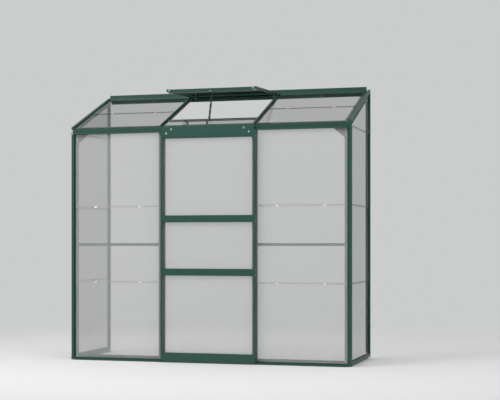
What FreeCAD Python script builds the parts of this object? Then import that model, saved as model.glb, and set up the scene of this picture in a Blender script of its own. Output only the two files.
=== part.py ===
# Lean-to greenhouse in powder-coated aluminium sections and glass, with one sliding door
# and one roof vent. Millimetres, +Z up, the wall is at +Y and the door at -Y.
# The origin is the centre of the footprint, on the ground.
import FreeCAD
import Part
import Sketcher

import math
import os
import re

from FreeCAD import Placement, Rotation, Vector

# Driving dimensions
SIZES = {
    "total_width": 1930,        # over the corner posts
    "frame_depth": 650,         # front of the corner posts to the wall
    "door_stand": 40,           # door face ahead of the corner posts
    "seat_height": 1557,        # roof glass seat, at the front of the posts
    "roof_rise": 268,           # the seat at the wall, over the seat at the front
    "post_head": 19,            # square head of posts and gable rafters
    "head_wall": 2,             # its wall
    "head_soft": 0.8,           # its outer edges are broken by this much
    "head_down": 24,            # level top of the corner post's head, under the roof seat
    "seat_set": 12,             # glass seat behind the face of the section
    "leg_wall": 2.5,            # legs, flanges and plates
    "corner_reach": 48,         # outer face to the free edge of a corner leg
    "glass_edge": 30,           # outer face to the edge of the glass
    "glass_thick": 3,
    "glass_gap": 0.3,           # glass to its seat
    "rib_gap": 1,               # glass to the rib of a bar
    "lap_gap": 1,               # between two lapped panes
    "lap_length": 12,
    "courses": 3,               # panes one over the other
    "pane_rise": 9,             # top pane behind the face of the eave beam
    "fit": 0.3,                 # between pieces that only just clear
    "door_bay": 644,            # centre to centre of the two glazing bars
    "bar_width": 38,            # glazing bar over its flanges
    "rib_wide": 6,
    "rib_tall": 14,             # roof bar's rib over the glass seat
    "channel_wide": 14,         # bolt channel at the back of a bar
    "channel_deep": 11.5,
    "channel_lip": 2,
    "sill_reach": 30,           # front sill, ahead of and behind the post face
    "track_lip": 10,            # height of the lip that keeps the door in
    "thin_wall": 2,             # lips, risers and door sections
    "shelf_top": 16,            # what the lowest panes and the posts stand on
    "riser_top": 18,
    "upstand_top": 36,          # glass seat along the sills
    "side_lip_low": 12,
    "side_lip_top": 32,
    "foot_reach": 40,           # side sill's foot, from the outer face
    "mitre_start": 7,
    "wall_post_foot": 8,
    "eave_down": 38,            # eave beam's lower edge, under the roof seat
    "eave_back": 32,            # eave beam's top plate reaches back to here
    "track_reach": 20,          # door track ahead of the eave face
    "track_lip_rise": 10,       # lip of the door track, over the beam's lower edge
    "leg_down": 7,              # top of the corner post's legs, under the roof seat
    "brace_low": 767,
    "brace_tall": 19,
    "brace_deep": 10,
    "gusset_tall": 109,
    "gusset_down": 12,          # top edge, under the roof seat
    "gusset_reach": 147,
    "gusset_clear": 3,          # gussets and braces to the post's head
    "plate_inset": 27,          # wall plate's end, from the outer face
    "plate_rise": 31,           # top of the wall plate, over the roof seat at the wall
    "plate_drop": 35,           # its lower edge, under that seat
    "plate_front": 32,          # fascia ahead of the wall
    "plate_fall": 4,            # slope of the wall plate's top
    "fascia_drop": 5,           # fascia's lower edge, under that seat
    "shelf_front": 28,          # shelf under the bars, ahead of the wall
    "glass_wall_gap": 10,       # roof glass to the wall
    "roof_lap": 300,            # roof lap behind the post face
    "roof_drip": 3,             # roof glass ahead of the post face
    "hinge_ahead": 6,           # vent hinge ahead of the fascia
    "hinge_stand": 20,          # vent hinge over the roof seat
    "bead_radius": 3,
    "bead_gap": 0.4,
    "hook_wall": 2,
    "mouth_above": 25,          # the hook's mouth, degrees each way from the vent's plane
    "mouth_under": 50,
    "vent_hinge_reach": 22,     # hinge rail's ledge ahead of the hinge line
    "vent_open": 2.1,           # pitch of the open vent, degrees
    "vent_width": 616,
    "vent_length": 541,
    "vent_rail": 16,            # depth of the vent's frame under its hinge line
    "vent_proud": 4,            # side rails over the front rail
    "vent_pane_stop": 8,        # vent glass ahead of the hinge line
    "vent_ledge": 8,            # underside of the ledges, under the hinge line
    "ledge_wide": 16,
    "sill_under": 10,           # vent sill's back edge, behind the front of the closed vent
    "sill_seat_deep": 29,
    "sill_seat_rise": 5,
    "sill_seat_drop": 14,
    "stay_inset": 53,           # stay pivot behind the front of the vent
    "stay_drop": 23,            # and under its hinge line
    "bracket_reach": -22,       # stay bracket's foot on the vent's ledge, behind the pivot
    "stay_wide": 13,
    "stay_thick": 3,
    "stay_lean": 9,             # sideways, degrees
    "stay_pitch": 7,            # foot towards the wall, degrees
    "stay_side": -5,            # pivot from the centre line
    "pin_radius": 2.5,
    "eye_radius": 5,
    "peg_radius": 3,
    "peg_pitch": 140,
    "peg_hole": 3.5,            # radius of the holes in the stay
    "peg_holes": 4,
    "hole_pitch": 40,
    "door_width": 648,
    "door_aside": 13,           # closed door's centre from the middle of the front
    "door_low": 2,
    "door_under": 1,            # stiles under the track
    "stile_deep": 36,
    "stile_flange": 12,
    "stile_seat": 24,
    "stile_foot": 12,           # stile's back starts over the track lip
    "door_seat": 6,             # back of the door's glass seat, ahead of the posts
    "header_drop": 48,          # header plate under the wheels' axis
    "header_rise": 22,          # and over it
    "header_inset": 7,
    "top_rail_tall": 43,
    "mid_rail_tall": 46,
    "upper_rail_low": 922,
    "lower_rail_low": 572,
    "bottom_rail_top": 64,
    "pane_overlap": 8,          # door glass behind each rail
    "wheel_radius": 12.7,
    "wheel_pitch": 498,
    "wheel_back": 6,
    "wheel_wide": 8,
    "wheel_hub": 3,             # wall of the hub
    "wheel_rim": 4,
    "wheel_dish": 2,            # hollow between hub and rim, each side
    "wheel_edge": 1,
    "axle_radius": 3,
    "axle_gap": 0.2,
    "axle_head": 7,
    "axle_collar": 5,
    "guide_long": 40,
    "guide_pitch": 440,
    "guide_gap": 1,             # guide blocks to the sill's groove
    "bolt_radius": 3,
    "nut_across": 10,
    "nut_tall": 4.5,
    "bolt_inset": 7,            # bolts to the free edge of a leg
    "gusset_bolt_rise": 38,
    "gusset_bolt_drop": 14,
    "gusset_bolt_in": 45,
    "header_bolt_pitch": 567,
    "header_bolt_drop": 26,     # under the wheels' axis
    "header_bolt_head": 5,
    "screw_radius": 2,
    "screw_gap": 0.2,
    "screw_long": 12,
    "screw_head": 7,            # across the flats of its head
    "screw_head_tall": 1.5,
    "screw_back": 15,           # screws behind the door's face
    "screw_in": 6,              # and in from the edges of a rail
    "clip_thick": 0.6,
    "clip_wide": 20,
    "clip_start": 2,            # foot of the hook behind the lower pane
    "clip_grip": 6,             # and what shows in front of the upper pane
    "fixing_radius": 3.25,      # holes for the wall fixings
    "fixing_low": 250,
    "fixing_down": 206,         # upper hole under the top of the wall plate
    "plate_fixing": 1240,       # between the two holes in the wall plate
    "plate_fixing_rise": 12,    # over the plate's lower edge
}

doc = FreeCAD.newDocument("LeanToGreenhouse")
sheet = doc.addObject("Spreadsheet::Sheet", "Sizes")
for row, (alias, size) in enumerate(SIZES.items(), start=1):
    sheet.set(f"A{row}", alias)
    sheet.set(f"B{row}", str(size))
    sheet.setAlias(f"B{row}", alias)
doc.recompute()

ALIAS = re.compile(r"\b(" + "|".join(sorted(SIZES, key=len, reverse=True)) + r")\b")
NODES = []


def cells(text):
    """The expression, with each named size read from the sheet."""
    return ALIAS.sub(r"Sizes.\1", str(text))


def number(text):
    return float(sheet.evalExpression(cells(text)))


# Places that more than one piece uses, worked out from the sheet
HALF = "(total_width / 2)"
FRONT = "((door_stand - frame_depth) / 2)"
WALL = "frame_depth"
BAR = "(door_bay / 2)"
SEAT_BACK = "(seat_set + leg_wall)"
PITCH = "(atan(roof_rise / frame_depth) / 1 deg)"
COS = f"cos({PITCH})"
SIN = f"sin({PITCH})"
TAN = "(roof_rise / frame_depth)"
POST_BACK = "(frame_depth - post_head)"
RIDGE = "(seat_height + roof_rise)"
WALL_TOP = f"({RIDGE} + plate_rise)"
HEAD_TOP = "(seat_height - head_down)"
LEG_TOP = "(seat_height - leg_down)"
EAVE_LOW = "(seat_height - eave_down)"
COURSE = f"(({EAVE_LOW} + pane_rise - riser_top) / courses)"
GUSSET_TOP = "(seat_height - gusset_down)"
GUSSET_LOW = f"({GUSSET_TOP} - gusset_tall)"
GUSSET_START = "(post_head + gusset_clear)"
REACH = 5000  # longer than any piece


def roof(back, rise="0"):
    """Height of the plane that lies rise over the roof glass seat, at a place behind the posts' face."""
    return f"(seat_height + ({back}) * {TAN} + ({rise}) / {COS})"


def up_slope(back, rise="0"):
    """Distance up the slope to that place, for a point rise over the seat."""
    return f"((({back}) + ({rise}) * {SIN}) / {COS})"


HINGE_BACK = f"({WALL} - plate_front - hinge_ahead)"
HINGE_HEIGHT = roof(HINGE_BACK, "hinge_stand")
STAY_Y = "(-(vent_length - stay_inset))"
STAY_BACK = f"({HINGE_BACK} + {STAY_Y} * cos(vent_open) + stay_drop * sin(vent_open))"
STAY_HEIGHT = f"({HINGE_HEIGHT} + {STAY_Y} * sin(vent_open) - stay_drop * cos(vent_open))"
SILL_BACK = f"({up_slope(HINGE_BACK, 'hinge_stand')} - vent_length + sill_under)"
PEG_BACK = f"({SILL_BACK} * {COS} + sill_seat_drop / 2 * {SIN})"
PEG_HEIGHT = f"(seat_height + {SILL_BACK} * {SIN} - sill_seat_drop / 2 * {COS})"
STAY_LENGTH = f"(({STAY_HEIGHT} - {PEG_HEIGHT}) / cos(stay_pitch) / cos(stay_lean) + stay_wide / 2)"
STAY_FOOT = f"(stay_side - ({STAY_LENGTH} - stay_wide / 2) * sin(stay_lean))"


def slant(rise, length):
    """The angle, in plain degrees, of a piece that rises over its length."""
    return f"(atan(({rise}) / ({length})) / 1 deg)"


def from_side(side, inward):
    """X of a point that lies inward of the outer face on one side."""
    return f"({side} * ({HALF} - ({inward})))"


def place(thing, at, pitch=None):
    """Put a piece at three bound places, and turn it about X by a bound angle."""
    if pitch is not None:
        thing.Placement = Placement(Vector(), Rotation(Vector(1, 0, 0), number(pitch)))
        thing.setExpression("Placement.Rotation.Angle", cells(pitch))
    for axis, text in zip("xyz", at):
        thing.setExpression(f"Placement.Base.{axis}", cells(text))


def new_body(label, at=("0", FRONT, "0"), pitch=None):
    body = doc.addObject("PartDesign::Body", label)
    body.Label = label
    place(body, at, pitch)
    NODES.append(body)
    return body


def new_sketch(body, role, offset=None):
    """An empty sketch on a plane of the body: XY across a post, YZ across a beam, XZ across a rafter."""
    sketch = body.newObject("Sketcher::SketchObject", f"{body.Name}_sketch")
    plane = next(item for item in body.Origin.OriginFeatures if item.Role == f"{role}_Plane")
    sketch.AttachmentSupport = [(plane, "")]
    sketch.MapMode = "FlatFace"
    if offset is not None:
        sketch.setExpression("AttachmentOffset.Base.z", cells(offset))
    return sketch


def fix(sketch, edge, point, x, y):
    """Tie one point of a sketch to bound places."""
    for kind, text in (("DistanceX", x), ("DistanceY", y)):
        index = sketch.addConstraint(Sketcher.Constraint(kind, -1, 1, edge, point, number(text)))
        sketch.setExpression(f"Constraints[{index}]", cells(text))


def outline(sketch, points):
    """A closed outline of straight edges, each corner tied to the sheet."""
    corners = [Vector(number(x), number(y), 0) for x, y in points]
    first = sketch.GeometryCount
    count = len(corners)
    for index, corner in enumerate(corners):
        sketch.addGeometry(Part.LineSegment(corner, corners[(index + 1) % count]), False)
    for index in range(count):
        follower = first + (index + 1) % count
        sketch.addConstraint(Sketcher.Constraint("Coincident", first + index, 2, follower, 1))
    for index, (x, y) in enumerate(points):
        fix(sketch, first + index, 1, x, y)


def ring(sketch, x, y, radius):
    edge = sketch.addGeometry(
        Part.Circle(Vector(number(x), number(y), 0), Vector(0, 0, 1), number(radius)), False
    )
    fix(sketch, edge, 3, x, y)
    index = sketch.addConstraint(Sketcher.Constraint("Radius", edge, number(radius)))
    sketch.setExpression(f"Constraints[{index}]", cells(radius))


def pad(body, sketch, length, middle=False, backward=False):
    feature = body.newObject("PartDesign::Pad", f"{body.Name}_pad")
    feature.Profile = sketch
    feature.Midplane = middle
    feature.Reversed = backward
    feature.setExpression("Length", cells(length))
    return feature


def cut_through(body, role, *outlines):
    """Cut closed outlines right through a body, both ways from one of its planes."""
    doc.recompute()
    before = body.Shape.Volume
    sketch = new_sketch(body, role)
    for points in outlines:
        outline(sketch, points)
    feature = body.newObject("PartDesign::Pocket", f"{body.Name}_cut")
    feature.Profile = sketch
    feature.Midplane = True
    feature.Length = REACH
    doc.recompute()
    if not body.Shape.Volume < before:
        raise RuntimeError(f"a cut in {body.Label} removes nothing")


def notch(body, low, high):
    """Cut a box out of a body, between two bound corners in the body's own frame."""
    box = body.newObject("PartDesign::SubtractiveBox", f"{body.Name}_notch")
    for name, start, end in zip(("Length", "Width", "Height"), low, high):
        box.setExpression(name, cells(f"({end}) - ({start})"))
    for axis, text in zip("xyz", low):
        box.setExpression(f"Placement.Base.{axis}", cells(text))


def drill(body, at, axis, radius, depth):
    """Drill a round hole from a bound place along one of the body's axes."""
    turns = {
        "X": Rotation(Vector(0, 1, 0), 90),
        "Y": Rotation(Vector(1, 0, 0), -90),
        "Z": Rotation(),
    }
    hole = body.newObject("PartDesign::SubtractiveCylinder", f"{body.Name}_hole")
    hole.Placement = Placement(Vector(), turns[axis])
    hole.setExpression("Radius", cells(radius))
    hole.setExpression("Height", cells(depth))
    for name, text in zip("xyz", at):
        hole.setExpression(f"Placement.Base.{name}", cells(text))


def slab(label, size, at, pitch=None, keep=True):
    """A flat pane, from its low corner."""
    box = doc.addObject("Part::Box", label)
    box.Label = label
    for name, text in zip(("Length", "Width", "Height"), size):
        box.setExpression(name, cells(text))
    place(box, at, pitch)
    if keep:
        NODES.append(box)
    return box


def group(label, pieces):
    """Like pieces that share one node."""
    compound = doc.addObject("Part::Compound", label)
    compound.Label = label
    compound.Links = pieces
    NODES.append(compound)
    return compound


def corner_section(side, face, back):
    """Corner section: a square head with two legs that carry glass, as (inward, back) on one side."""
    points = [
        ("head_soft", "0"),
        ("post_head - head_soft", "0"),
        ("post_head", "head_soft"),
        ("post_head", "seat_set"),
        ("corner_reach", "seat_set"),
        ("corner_reach", SEAT_BACK),
        ("post_head", SEAT_BACK),
        ("post_head", "post_head"),
        (SEAT_BACK, "post_head"),
        (SEAT_BACK, "corner_reach"),
        ("seat_set", "corner_reach"),
        ("seat_set", "post_head"),
        ("head_soft", "post_head"),
        ("0", "post_head - head_soft"),
        ("0", "head_soft"),
    ]
    return [(from_side(side, inward), f"({face} + {back} * ({depth}))") for inward, depth in points]


def head_bore(side, low, high):
    """The hollow of a square head."""
    near = from_side(side, "head_wall")
    far = from_side(side, "post_head - head_wall")
    low = f"({low} + head_wall)"
    high = f"({high} - head_wall)"
    return [(near, low), (far, low), (far, high), (near, high)]


def tee_section(face, away, rib):
    """Glazing bar: a rib between two panes, flanges behind them and a bolt channel."""
    seat = f"({face})"
    flange = f"({face} + {away} * leg_wall)"
    lip = f"({flange} + {away} * (channel_deep - channel_lip))"
    back = f"({flange} + {away} * channel_deep)"
    outer = "channel_wide / 2"
    inner = "channel_wide / 2 - channel_lip"
    nose = f"({face} - {away} * {rib})"
    half = [
        ("rib_wide / 2", nose),
        ("rib_wide / 2", seat),
        ("bar_width / 2", seat),
        ("bar_width / 2", flange),
        (outer, flange),
        (outer, back),
        ("rib_wide / 2", back),
        ("rib_wide / 2", lip),
        (inner, lip),
        (inner, flange),
    ]
    mirrored = [(f"-({x})", y) for x, y in reversed(half)]
    return half + mirrored


def make_front_sill():
    body = new_body("front_sill")
    sketch = new_sketch(body, "YZ")
    under_shelf = "(shelf_top - leg_wall)"
    outline(sketch, [
        ("-sill_reach", "0"),
        ("sill_reach", "0"),
        ("sill_reach", "leg_wall"),
        ("0", "leg_wall"),
        ("0", under_shelf),
        (SEAT_BACK, under_shelf),
        (SEAT_BACK, "upstand_top"),
        ("seat_set", "upstand_top"),
        ("seat_set", "shelf_top"),
        ("0", "shelf_top"),
        ("0", "riser_top"),
        ("-thin_wall", "riser_top"),
        ("-thin_wall", "leg_wall"),
        ("-(sill_reach - thin_wall)", "leg_wall"),
        ("-(sill_reach - thin_wall)", "track_lip"),
        ("-sill_reach", "track_lip"),
    ])
    pad(body, sketch, "total_width", middle=True)
    ends = []
    for side in (-1, 1):
        ends.append([
            (from_side(side, "-fit"), "-thin_wall"),
            (from_side(side, "mitre_start"), "-thin_wall"),
            (from_side(side, "mitre_start + sill_reach"), "-(sill_reach + thin_wall)"),
            (from_side(side, "-fit"), "-(sill_reach + thin_wall)"),
        ])
    cut_through(body, "XY", *ends)
    clear = "(bar_width / 2 + fit)"
    low = "seat_set - fit"
    high = f"{SEAT_BACK} + fit"
    notch(body, (f"-{HALF}", low, "shelf_top"), (f"-{HALF} + corner_reach + fit", high, "upstand_top + fit"))
    notch(body, (f"{HALF} - corner_reach - fit", low, "shelf_top"), (HALF, high, "upstand_top + fit"))
    for side in (-1, 1):
        start = f"{side} * {BAR} - {clear}"
        end = f"{side} * {BAR} + {clear}"
        notch(body, (start, low, "shelf_top"), (end, high, "upstand_top + fit"))


def make_side_sill(side, name):
    body = new_body(f"side_sill_{name}", ("0", f"{FRONT} + post_head + fit", "0"))
    sketch = new_sketch(body, "XZ")
    under_shelf = "(shelf_top - leg_wall)"
    points = [
        ("0", "side_lip_low"),
        ("thin_wall", "side_lip_low"),
        ("thin_wall", under_shelf),
        ("seat_set", under_shelf),
        ("seat_set", "0"),
        ("foot_reach", "0"),
        ("foot_reach", "leg_wall"),
        (SEAT_BACK, "leg_wall"),
        (SEAT_BACK, "upstand_top"),
        ("seat_set", "upstand_top"),
        ("seat_set", "shelf_top"),
        ("thin_wall", "shelf_top"),
        ("thin_wall", "side_lip_top"),
        ("0", "side_lip_top"),
    ]
    outline(sketch, [(from_side(side, inward), height) for inward, height in points])
    length = "(frame_depth - 2 * post_head - 2 * fit)"
    pad(body, sketch, length, backward=True)
    doc.recompute()
    leg = "(corner_reach - post_head)"
    over = [
        ("-fit", "shelf_top"),
        (leg, "shelf_top"),
        (leg, "upstand_top + fit"),
        ("-fit", "upstand_top + fit"),
    ]
    over_back = [(f"{length} - ({x})", y) for x, y in over]
    under_front = "(sill_reach - post_head)"
    under = [("-fit", "-fit"), (under_front, "-fit"), (under_front, "leg_wall"), ("-fit", "leg_wall")]
    cut_leg(body, side, over, over_back)
    cut_through(body, "YZ", under)


def cut_leg(body, side, *outlines):
    """Cut outlines through the inner part of a side section only, from the glass seat inward."""
    doc.recompute()
    before = body.Shape.Volume
    start = from_side(side, "seat_set - fit")
    sketch = new_sketch(body, "YZ", start)
    for points in outlines:
        outline(sketch, points)
    feature = body.newObject("PartDesign::Pocket", f"{body.Name}_leg_cut")
    feature.Profile = sketch
    feature.Reversed = side < 0
    feature.Length = REACH
    doc.recompute()
    if not body.Shape.Volume < before:
        raise RuntimeError(f"a leg cut in {body.Label} removes nothing")


def make_corner_post(side, name):
    body = new_body(f"corner_post_{name}", ("0", FRONT, "shelf_top"))
    sketch = new_sketch(body, "XY")
    outline(sketch, corner_section(side, "0", 1))
    outline(sketch, head_bore(side, "0", "post_head"))
    pad(body, sketch, f"{LEG_TOP} - shelf_top")
    near = sorted([from_side(side, "-fit"), from_side(side, "post_head")], key=number)
    notch(
        body,
        (near[0], "-fit", f"{HEAD_TOP} - shelf_top"),
        (near[1], "post_head", f"{LEG_TOP} - shelf_top + fit"),
    )
    under = "-(corner_reach - seat_set) - fit"
    cut_through(body, "YZ", [
        ("post_head", f"{roof('post_head', under)} - shelf_top"),
        ("corner_reach + fit", f"{roof('corner_reach + fit', under)} - shelf_top"),
        ("corner_reach + fit", LEG_TOP),
        ("post_head", LEG_TOP),
    ])


def make_wall_post(side, name):
    body = new_body(f"wall_post_{name}", ("0", FRONT, "wall_post_foot"))
    sketch = new_sketch(body, "XY")
    points = [
        ("0", f"{WALL} - head_soft"),
        ("head_soft", WALL),
        ("post_head", WALL),
        ("post_head", POST_BACK),
        (SEAT_BACK, POST_BACK),
        (SEAT_BACK, f"{WALL} - corner_reach"),
        ("seat_set", f"{WALL} - corner_reach"),
        ("seat_set", POST_BACK),
        ("head_soft", POST_BACK),
        ("0", f"{POST_BACK} + head_soft"),
    ]
    outline(sketch, [(from_side(side, inward), back) for inward, back in points])
    outline(sketch, head_bore(side, POST_BACK, WALL))
    pad(body, sketch, f"{WALL_TOP} - wall_post_foot")
    head_under = "-(post_head - seat_set) - fit"
    leg_under = "-(corner_reach - seat_set) - fit"
    start = f"{WALL} - corner_reach - fit"
    cut_through(body, "YZ", [
        (POST_BACK, f"{roof(POST_BACK, head_under)} - wall_post_foot"),
        (f"{WALL} + fit", f"{roof(f'{WALL} + fit', head_under)} - wall_post_foot"),
        (f"{WALL} + fit", WALL_TOP),
        (POST_BACK, WALL_TOP),
    ])
    cut_through(body, "YZ", [
        (start, f"{roof(start, leg_under)} - wall_post_foot"),
        (POST_BACK, f"{roof(POST_BACK, leg_under)} - wall_post_foot"),
        (POST_BACK, WALL_TOP),
        (start, WALL_TOP),
    ])
    cut_through(body, "YZ", [
        (start, "-fit"),
        (POST_BACK, "-fit"),
        (POST_BACK, "shelf_top - wall_post_foot"),
        (start, "shelf_top - wall_post_foot"),
    ])
    for height in ("fixing_low", f"({WALL_TOP} - fixing_down)"):
        at = (from_side(side, "post_head / 2"), f"{POST_BACK} - fit", f"{height} - wall_post_foot")
        drill(body, at, "Y", "fixing_radius", "post_head + 2 * fit")


def make_front_bar(side, name):
    body = new_body(f"front_bar_{name}", (f"{side} * {BAR}", FRONT, "shelf_top"))
    sketch = new_sketch(body, "XY")
    outline(sketch, tee_section("seat_set", "1", "seat_set"))
    pad(body, sketch, f"{EAVE_LOW} - fit - shelf_top")


def make_eave_beam():
    body = new_body("eave_beam")
    sketch = new_sketch(body, "YZ")
    floor = f"({EAVE_LOW} + thin_wall)"

    def top(back):
        return (back, roof(back, "-leg_wall"))

    def under(back):
        return (back, roof(back, "-2 * leg_wall"))

    outline(sketch, [
        ("-track_reach", EAVE_LOW),
        ("thin_wall", EAVE_LOW),
        under("thin_wall"),
        under("seat_set"),
        ("seat_set", EAVE_LOW),
        (SEAT_BACK, EAVE_LOW),
        under(SEAT_BACK),
        under("eave_back"),
        top("eave_back"),
        top("0"),
        ("0", floor),
        ("-(track_reach - thin_wall)", floor),
        ("-(track_reach - thin_wall)", f"{EAVE_LOW} + track_lip_rise"),
        ("-track_reach", f"{EAVE_LOW} + track_lip_rise"),
    ])
    pad(body, sketch, "total_width - 2 * post_head - 2 * fit", middle=True)
    low = "seat_set - fit"
    high = f"{SEAT_BACK} + fit"
    for start, end in ((f"-{HALF}", f"-{HALF} + corner_reach + fit"), (f"{HALF} - corner_reach - fit", HALF)):
        notch(body, (start, low, f"{EAVE_LOW} - fit"), (end, high, f"{LEG_TOP} + fit"))


def make_wall_plate():
    body = new_body("wall_plate")
    fascia = f"({WALL} - plate_front)"
    shelf = f"({WALL} - shelf_front)"
    back = f"({WALL} - leg_wall)"
    length = "(total_width - 2 * plate_inset)"
    low = f"({RIDGE} - plate_drop)"
    fascia_low = f"({RIDGE} - fascia_drop)"
    outline_points = [
        (WALL, low),
        (WALL, WALL_TOP),
        (fascia, f"{WALL_TOP} - plate_fall"),
        (fascia, fascia_low),
        (f"{fascia} + leg_wall", fascia_low),
        (f"{fascia} + leg_wall", f"{WALL_TOP} - plate_fall - leg_wall"),
        (back, f"{WALL_TOP} - leg_wall"),
        (back, roof(back, "-leg_wall")),
        (shelf, roof(shelf, "-leg_wall")),
        (shelf, roof(shelf, "-2 * leg_wall")),
        (back, roof(back, "-2 * leg_wall")),
        (back, low),
    ]
    sketch = new_sketch(body, "YZ")
    outline(sketch, outline_points)
    pad(body, sketch, length, middle=True)
    # The vent hangs on a round bead along the middle of the fascia
    arm = new_sketch(body, "YZ")
    outline(arm, [
        (HINGE_BACK, f"{HINGE_HEIGHT} - thin_wall / 2"),
        (f"{fascia} + leg_wall / 2", f"{HINGE_HEIGHT} - thin_wall / 2"),
        (f"{fascia} + leg_wall / 2", f"{HINGE_HEIGHT} + thin_wall / 2"),
        (HINGE_BACK, f"{HINGE_HEIGHT} + thin_wall / 2"),
    ])
    pad(body, arm, "vent_width", middle=True)
    bead = new_sketch(body, "YZ")
    ring(bead, HINGE_BACK, HINGE_HEIGHT, "bead_radius")
    pad(body, bead, "vent_width", middle=True)
    for side in (-1, 1):
        at = (f"{side} * plate_fixing / 2", f"{WALL} - leg_wall - fit", f"{low} + plate_fixing_rise")
        drill(body, at, "Y", "fixing_radius", "leg_wall + 2 * fit")


def plumb(back, low, high):
    """A plumb line behind the posts' face, as two points of the roof's own frame."""
    return [(up_slope(back, low), low), (up_slope(back, high), high)]


def make_gable_rafter(side, name):
    body = new_body(f"gable_rafter_{name}", ("0", FRONT, "seat_height"), PITCH)
    sketch = new_sketch(body, "XZ")
    outline(sketch, corner_section(side, "seat_set", -1))
    outline(sketch, head_bore(side, "seat_set - post_head", "seat_set"))
    pad(body, sketch, f"{WALL} / {COS} + post_head", backward=True)
    top = "seat_set + fit"
    bottom = "-corner_reach"
    head = "-(post_head - seat_set)"
    far = f"({up_slope(WALL)} + post_head)"
    start = plumb("0", bottom, top)
    end = plumb(f"{WALL} - leg_wall - fit", bottom, top)
    cut_through(body, "YZ", [*start, ("-post_head", top), ("-post_head", bottom)])
    cut_through(body, "YZ", [*end, (far, top), (far, bottom)])
    foot = plumb("post_head + fit", bottom, head)
    cut_through(body, "YZ", [*foot, ("-post_head", head), ("-post_head", bottom)])
    tail = plumb(f"{POST_BACK} - fit", bottom, head)
    cut_through(body, "YZ", [*tail, (far, head), (far, bottom)])


def make_roof_bar(side, name):
    body = new_body(f"roof_bar_{name}", (f"{side} * {BAR}", FRONT, "seat_height"), PITCH)
    sketch = new_sketch(body, "XZ")
    outline(sketch, tee_section("0", "-1", "rib_tall"))
    pad(body, sketch, f"{WALL} / {COS}", backward=True)
    top = "rib_tall + fit"
    flange = "-leg_wall"
    bottom = "-(leg_wall + channel_deep + fit)"
    far = f"({up_slope(WALL)} + post_head)"
    wall_end = plumb(f"{WALL} - leg_wall - fit", bottom, top)
    cut_through(body, "YZ", [*wall_end, (far, top), (far, bottom)])
    rib_end = plumb(f"{WALL} - plate_front - fit", "0", top)
    cut_through(body, "YZ", [*rib_end, (far, top), (far, "0")])
    front_end = plumb("0", bottom, top)
    cut_through(body, "YZ", [*front_end, ("-post_head", top), ("-post_head", bottom)])
    eave_end = plumb("eave_back + fit", bottom, flange)
    cut_through(body, "YZ", [*eave_end, ("-post_head", flange), ("-post_head", bottom)])
    shelf_end = plumb(f"{WALL} - shelf_front - fit", bottom, flange)
    cut_through(body, "YZ", [*shelf_end, (far, flange), (far, bottom)])


def make_front_brace(side, name):
    body = new_body(f"front_brace_{name}", ("0", FRONT, "brace_low"))
    sketch = new_sketch(body, "YZ", from_side(side, GUSSET_START))
    outline(sketch, [
        (SEAT_BACK, "0"),
        (f"{SEAT_BACK} + leg_wall", "0"),
        (f"{SEAT_BACK} + leg_wall", "brace_tall - leg_wall"),
        (f"{SEAT_BACK} + brace_deep", "brace_tall - leg_wall"),
        (f"{SEAT_BACK} + brace_deep", "brace_tall"),
        (SEAT_BACK, "brace_tall"),
    ])
    length = f"{HALF} - {GUSSET_START} - {BAR} - channel_wide / 2 - fit"
    pad(body, sketch, length, backward=side > 0)


def make_gusset(side, name):
    body = new_body(f"gusset_{name}", ("0", f"{FRONT} + {SEAT_BACK}", "0"))
    sketch = new_sketch(body, "XZ")
    outline(sketch, [
        (from_side(side, GUSSET_START), GUSSET_LOW),
        (from_side(side, GUSSET_START), GUSSET_TOP),
        (from_side(side, "gusset_reach"), GUSSET_TOP),
    ])
    pad(body, sketch, "thin_wall", backward=True)


def make_vent_sill():
    body = new_body("vent_sill", ("0", FRONT, "seat_height"), PITCH)
    sketch = new_sketch(body, "YZ")
    front = f"({SILL_BACK} - sill_seat_deep)"
    web = f"({SILL_BACK} - leg_wall)"
    outline(sketch, [
        (front, "-leg_wall"),
        (web, "-leg_wall"),
        (web, "-sill_seat_drop"),
        (SILL_BACK, "-sill_seat_drop"),
        (SILL_BACK, "sill_seat_rise"),
        (web, "sill_seat_rise"),
        (web, "0"),
        (front, "0"),
    ])
    pad(body, sketch, "door_bay - bar_width - 2 * fit", middle=True)


def make_stay_pegs():
    """Two pegs on the back of the vent sill; the stay's holes hang just clear of their tips."""
    pegs = []
    stay = f"({STAY_BACK} + ({STAY_HEIGHT} - {PEG_HEIGHT}) * tan(stay_pitch))"
    for index, x in enumerate((STAY_FOOT, f"{STAY_FOOT} - peg_pitch")):
        peg = doc.addObject("Part::Cylinder", f"stay_peg_{index}")
        peg.setExpression("Radius", cells("peg_radius"))
        peg.setExpression("Height", cells(f"({stay} - {PEG_BACK}) / {COS} - peg_radius * {TAN} - 2 * fit"))
        peg.Placement = Placement(Vector(), Rotation(Vector(-1, 0, 0), 90 - number(PITCH)))
        peg.setExpression("Placement.Rotation.Angle", cells(f"90 - {PITCH}"))
        place(peg, (x, f"{FRONT} + {PEG_BACK}", PEG_HEIGHT))
        pegs.append(peg)
    group("stay_pegs", pegs)


def pane(label, side, foot, height, lift):
    """A front pane between the corner post and a glazing bar, its foot lifted off the seat by the lap."""
    start = from_side(side, "glass_edge")
    end = f"({side} * ({BAR} + rib_wide / 2 + rib_gap))"
    left = start if side < 0 else end
    tilt = f"-{slant(lift, height)}"
    slab(
        label,
        (f"{side} * ({start} - {end})", "glass_thick", height),
        (left, f"{FRONT} + seat_set - glass_gap - glass_thick - ({lift})", foot),
        tilt,
    )


LAP_LIFT = "(glass_thick + lap_gap)"


def course_foot(index):
    return "shelf_top + glass_gap" if index == 0 else f"riser_top + {index} * {COURSE}"


def course_height(index, top):
    end = top if index == 2 else f"{course_foot(index + 1)} + lap_length"
    return f"({end} - ({course_foot(index)}))"


def make_front_panes(side, name):
    for index, level in enumerate(("lower", "middle", "upper")):
        lift = "0" if index == 0 else LAP_LIFT
        height = course_height(index, f"{EAVE_LOW} + pane_rise")
        pane(f"front_pane_{level}_{name}", side, course_foot(index), height, lift)


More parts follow.
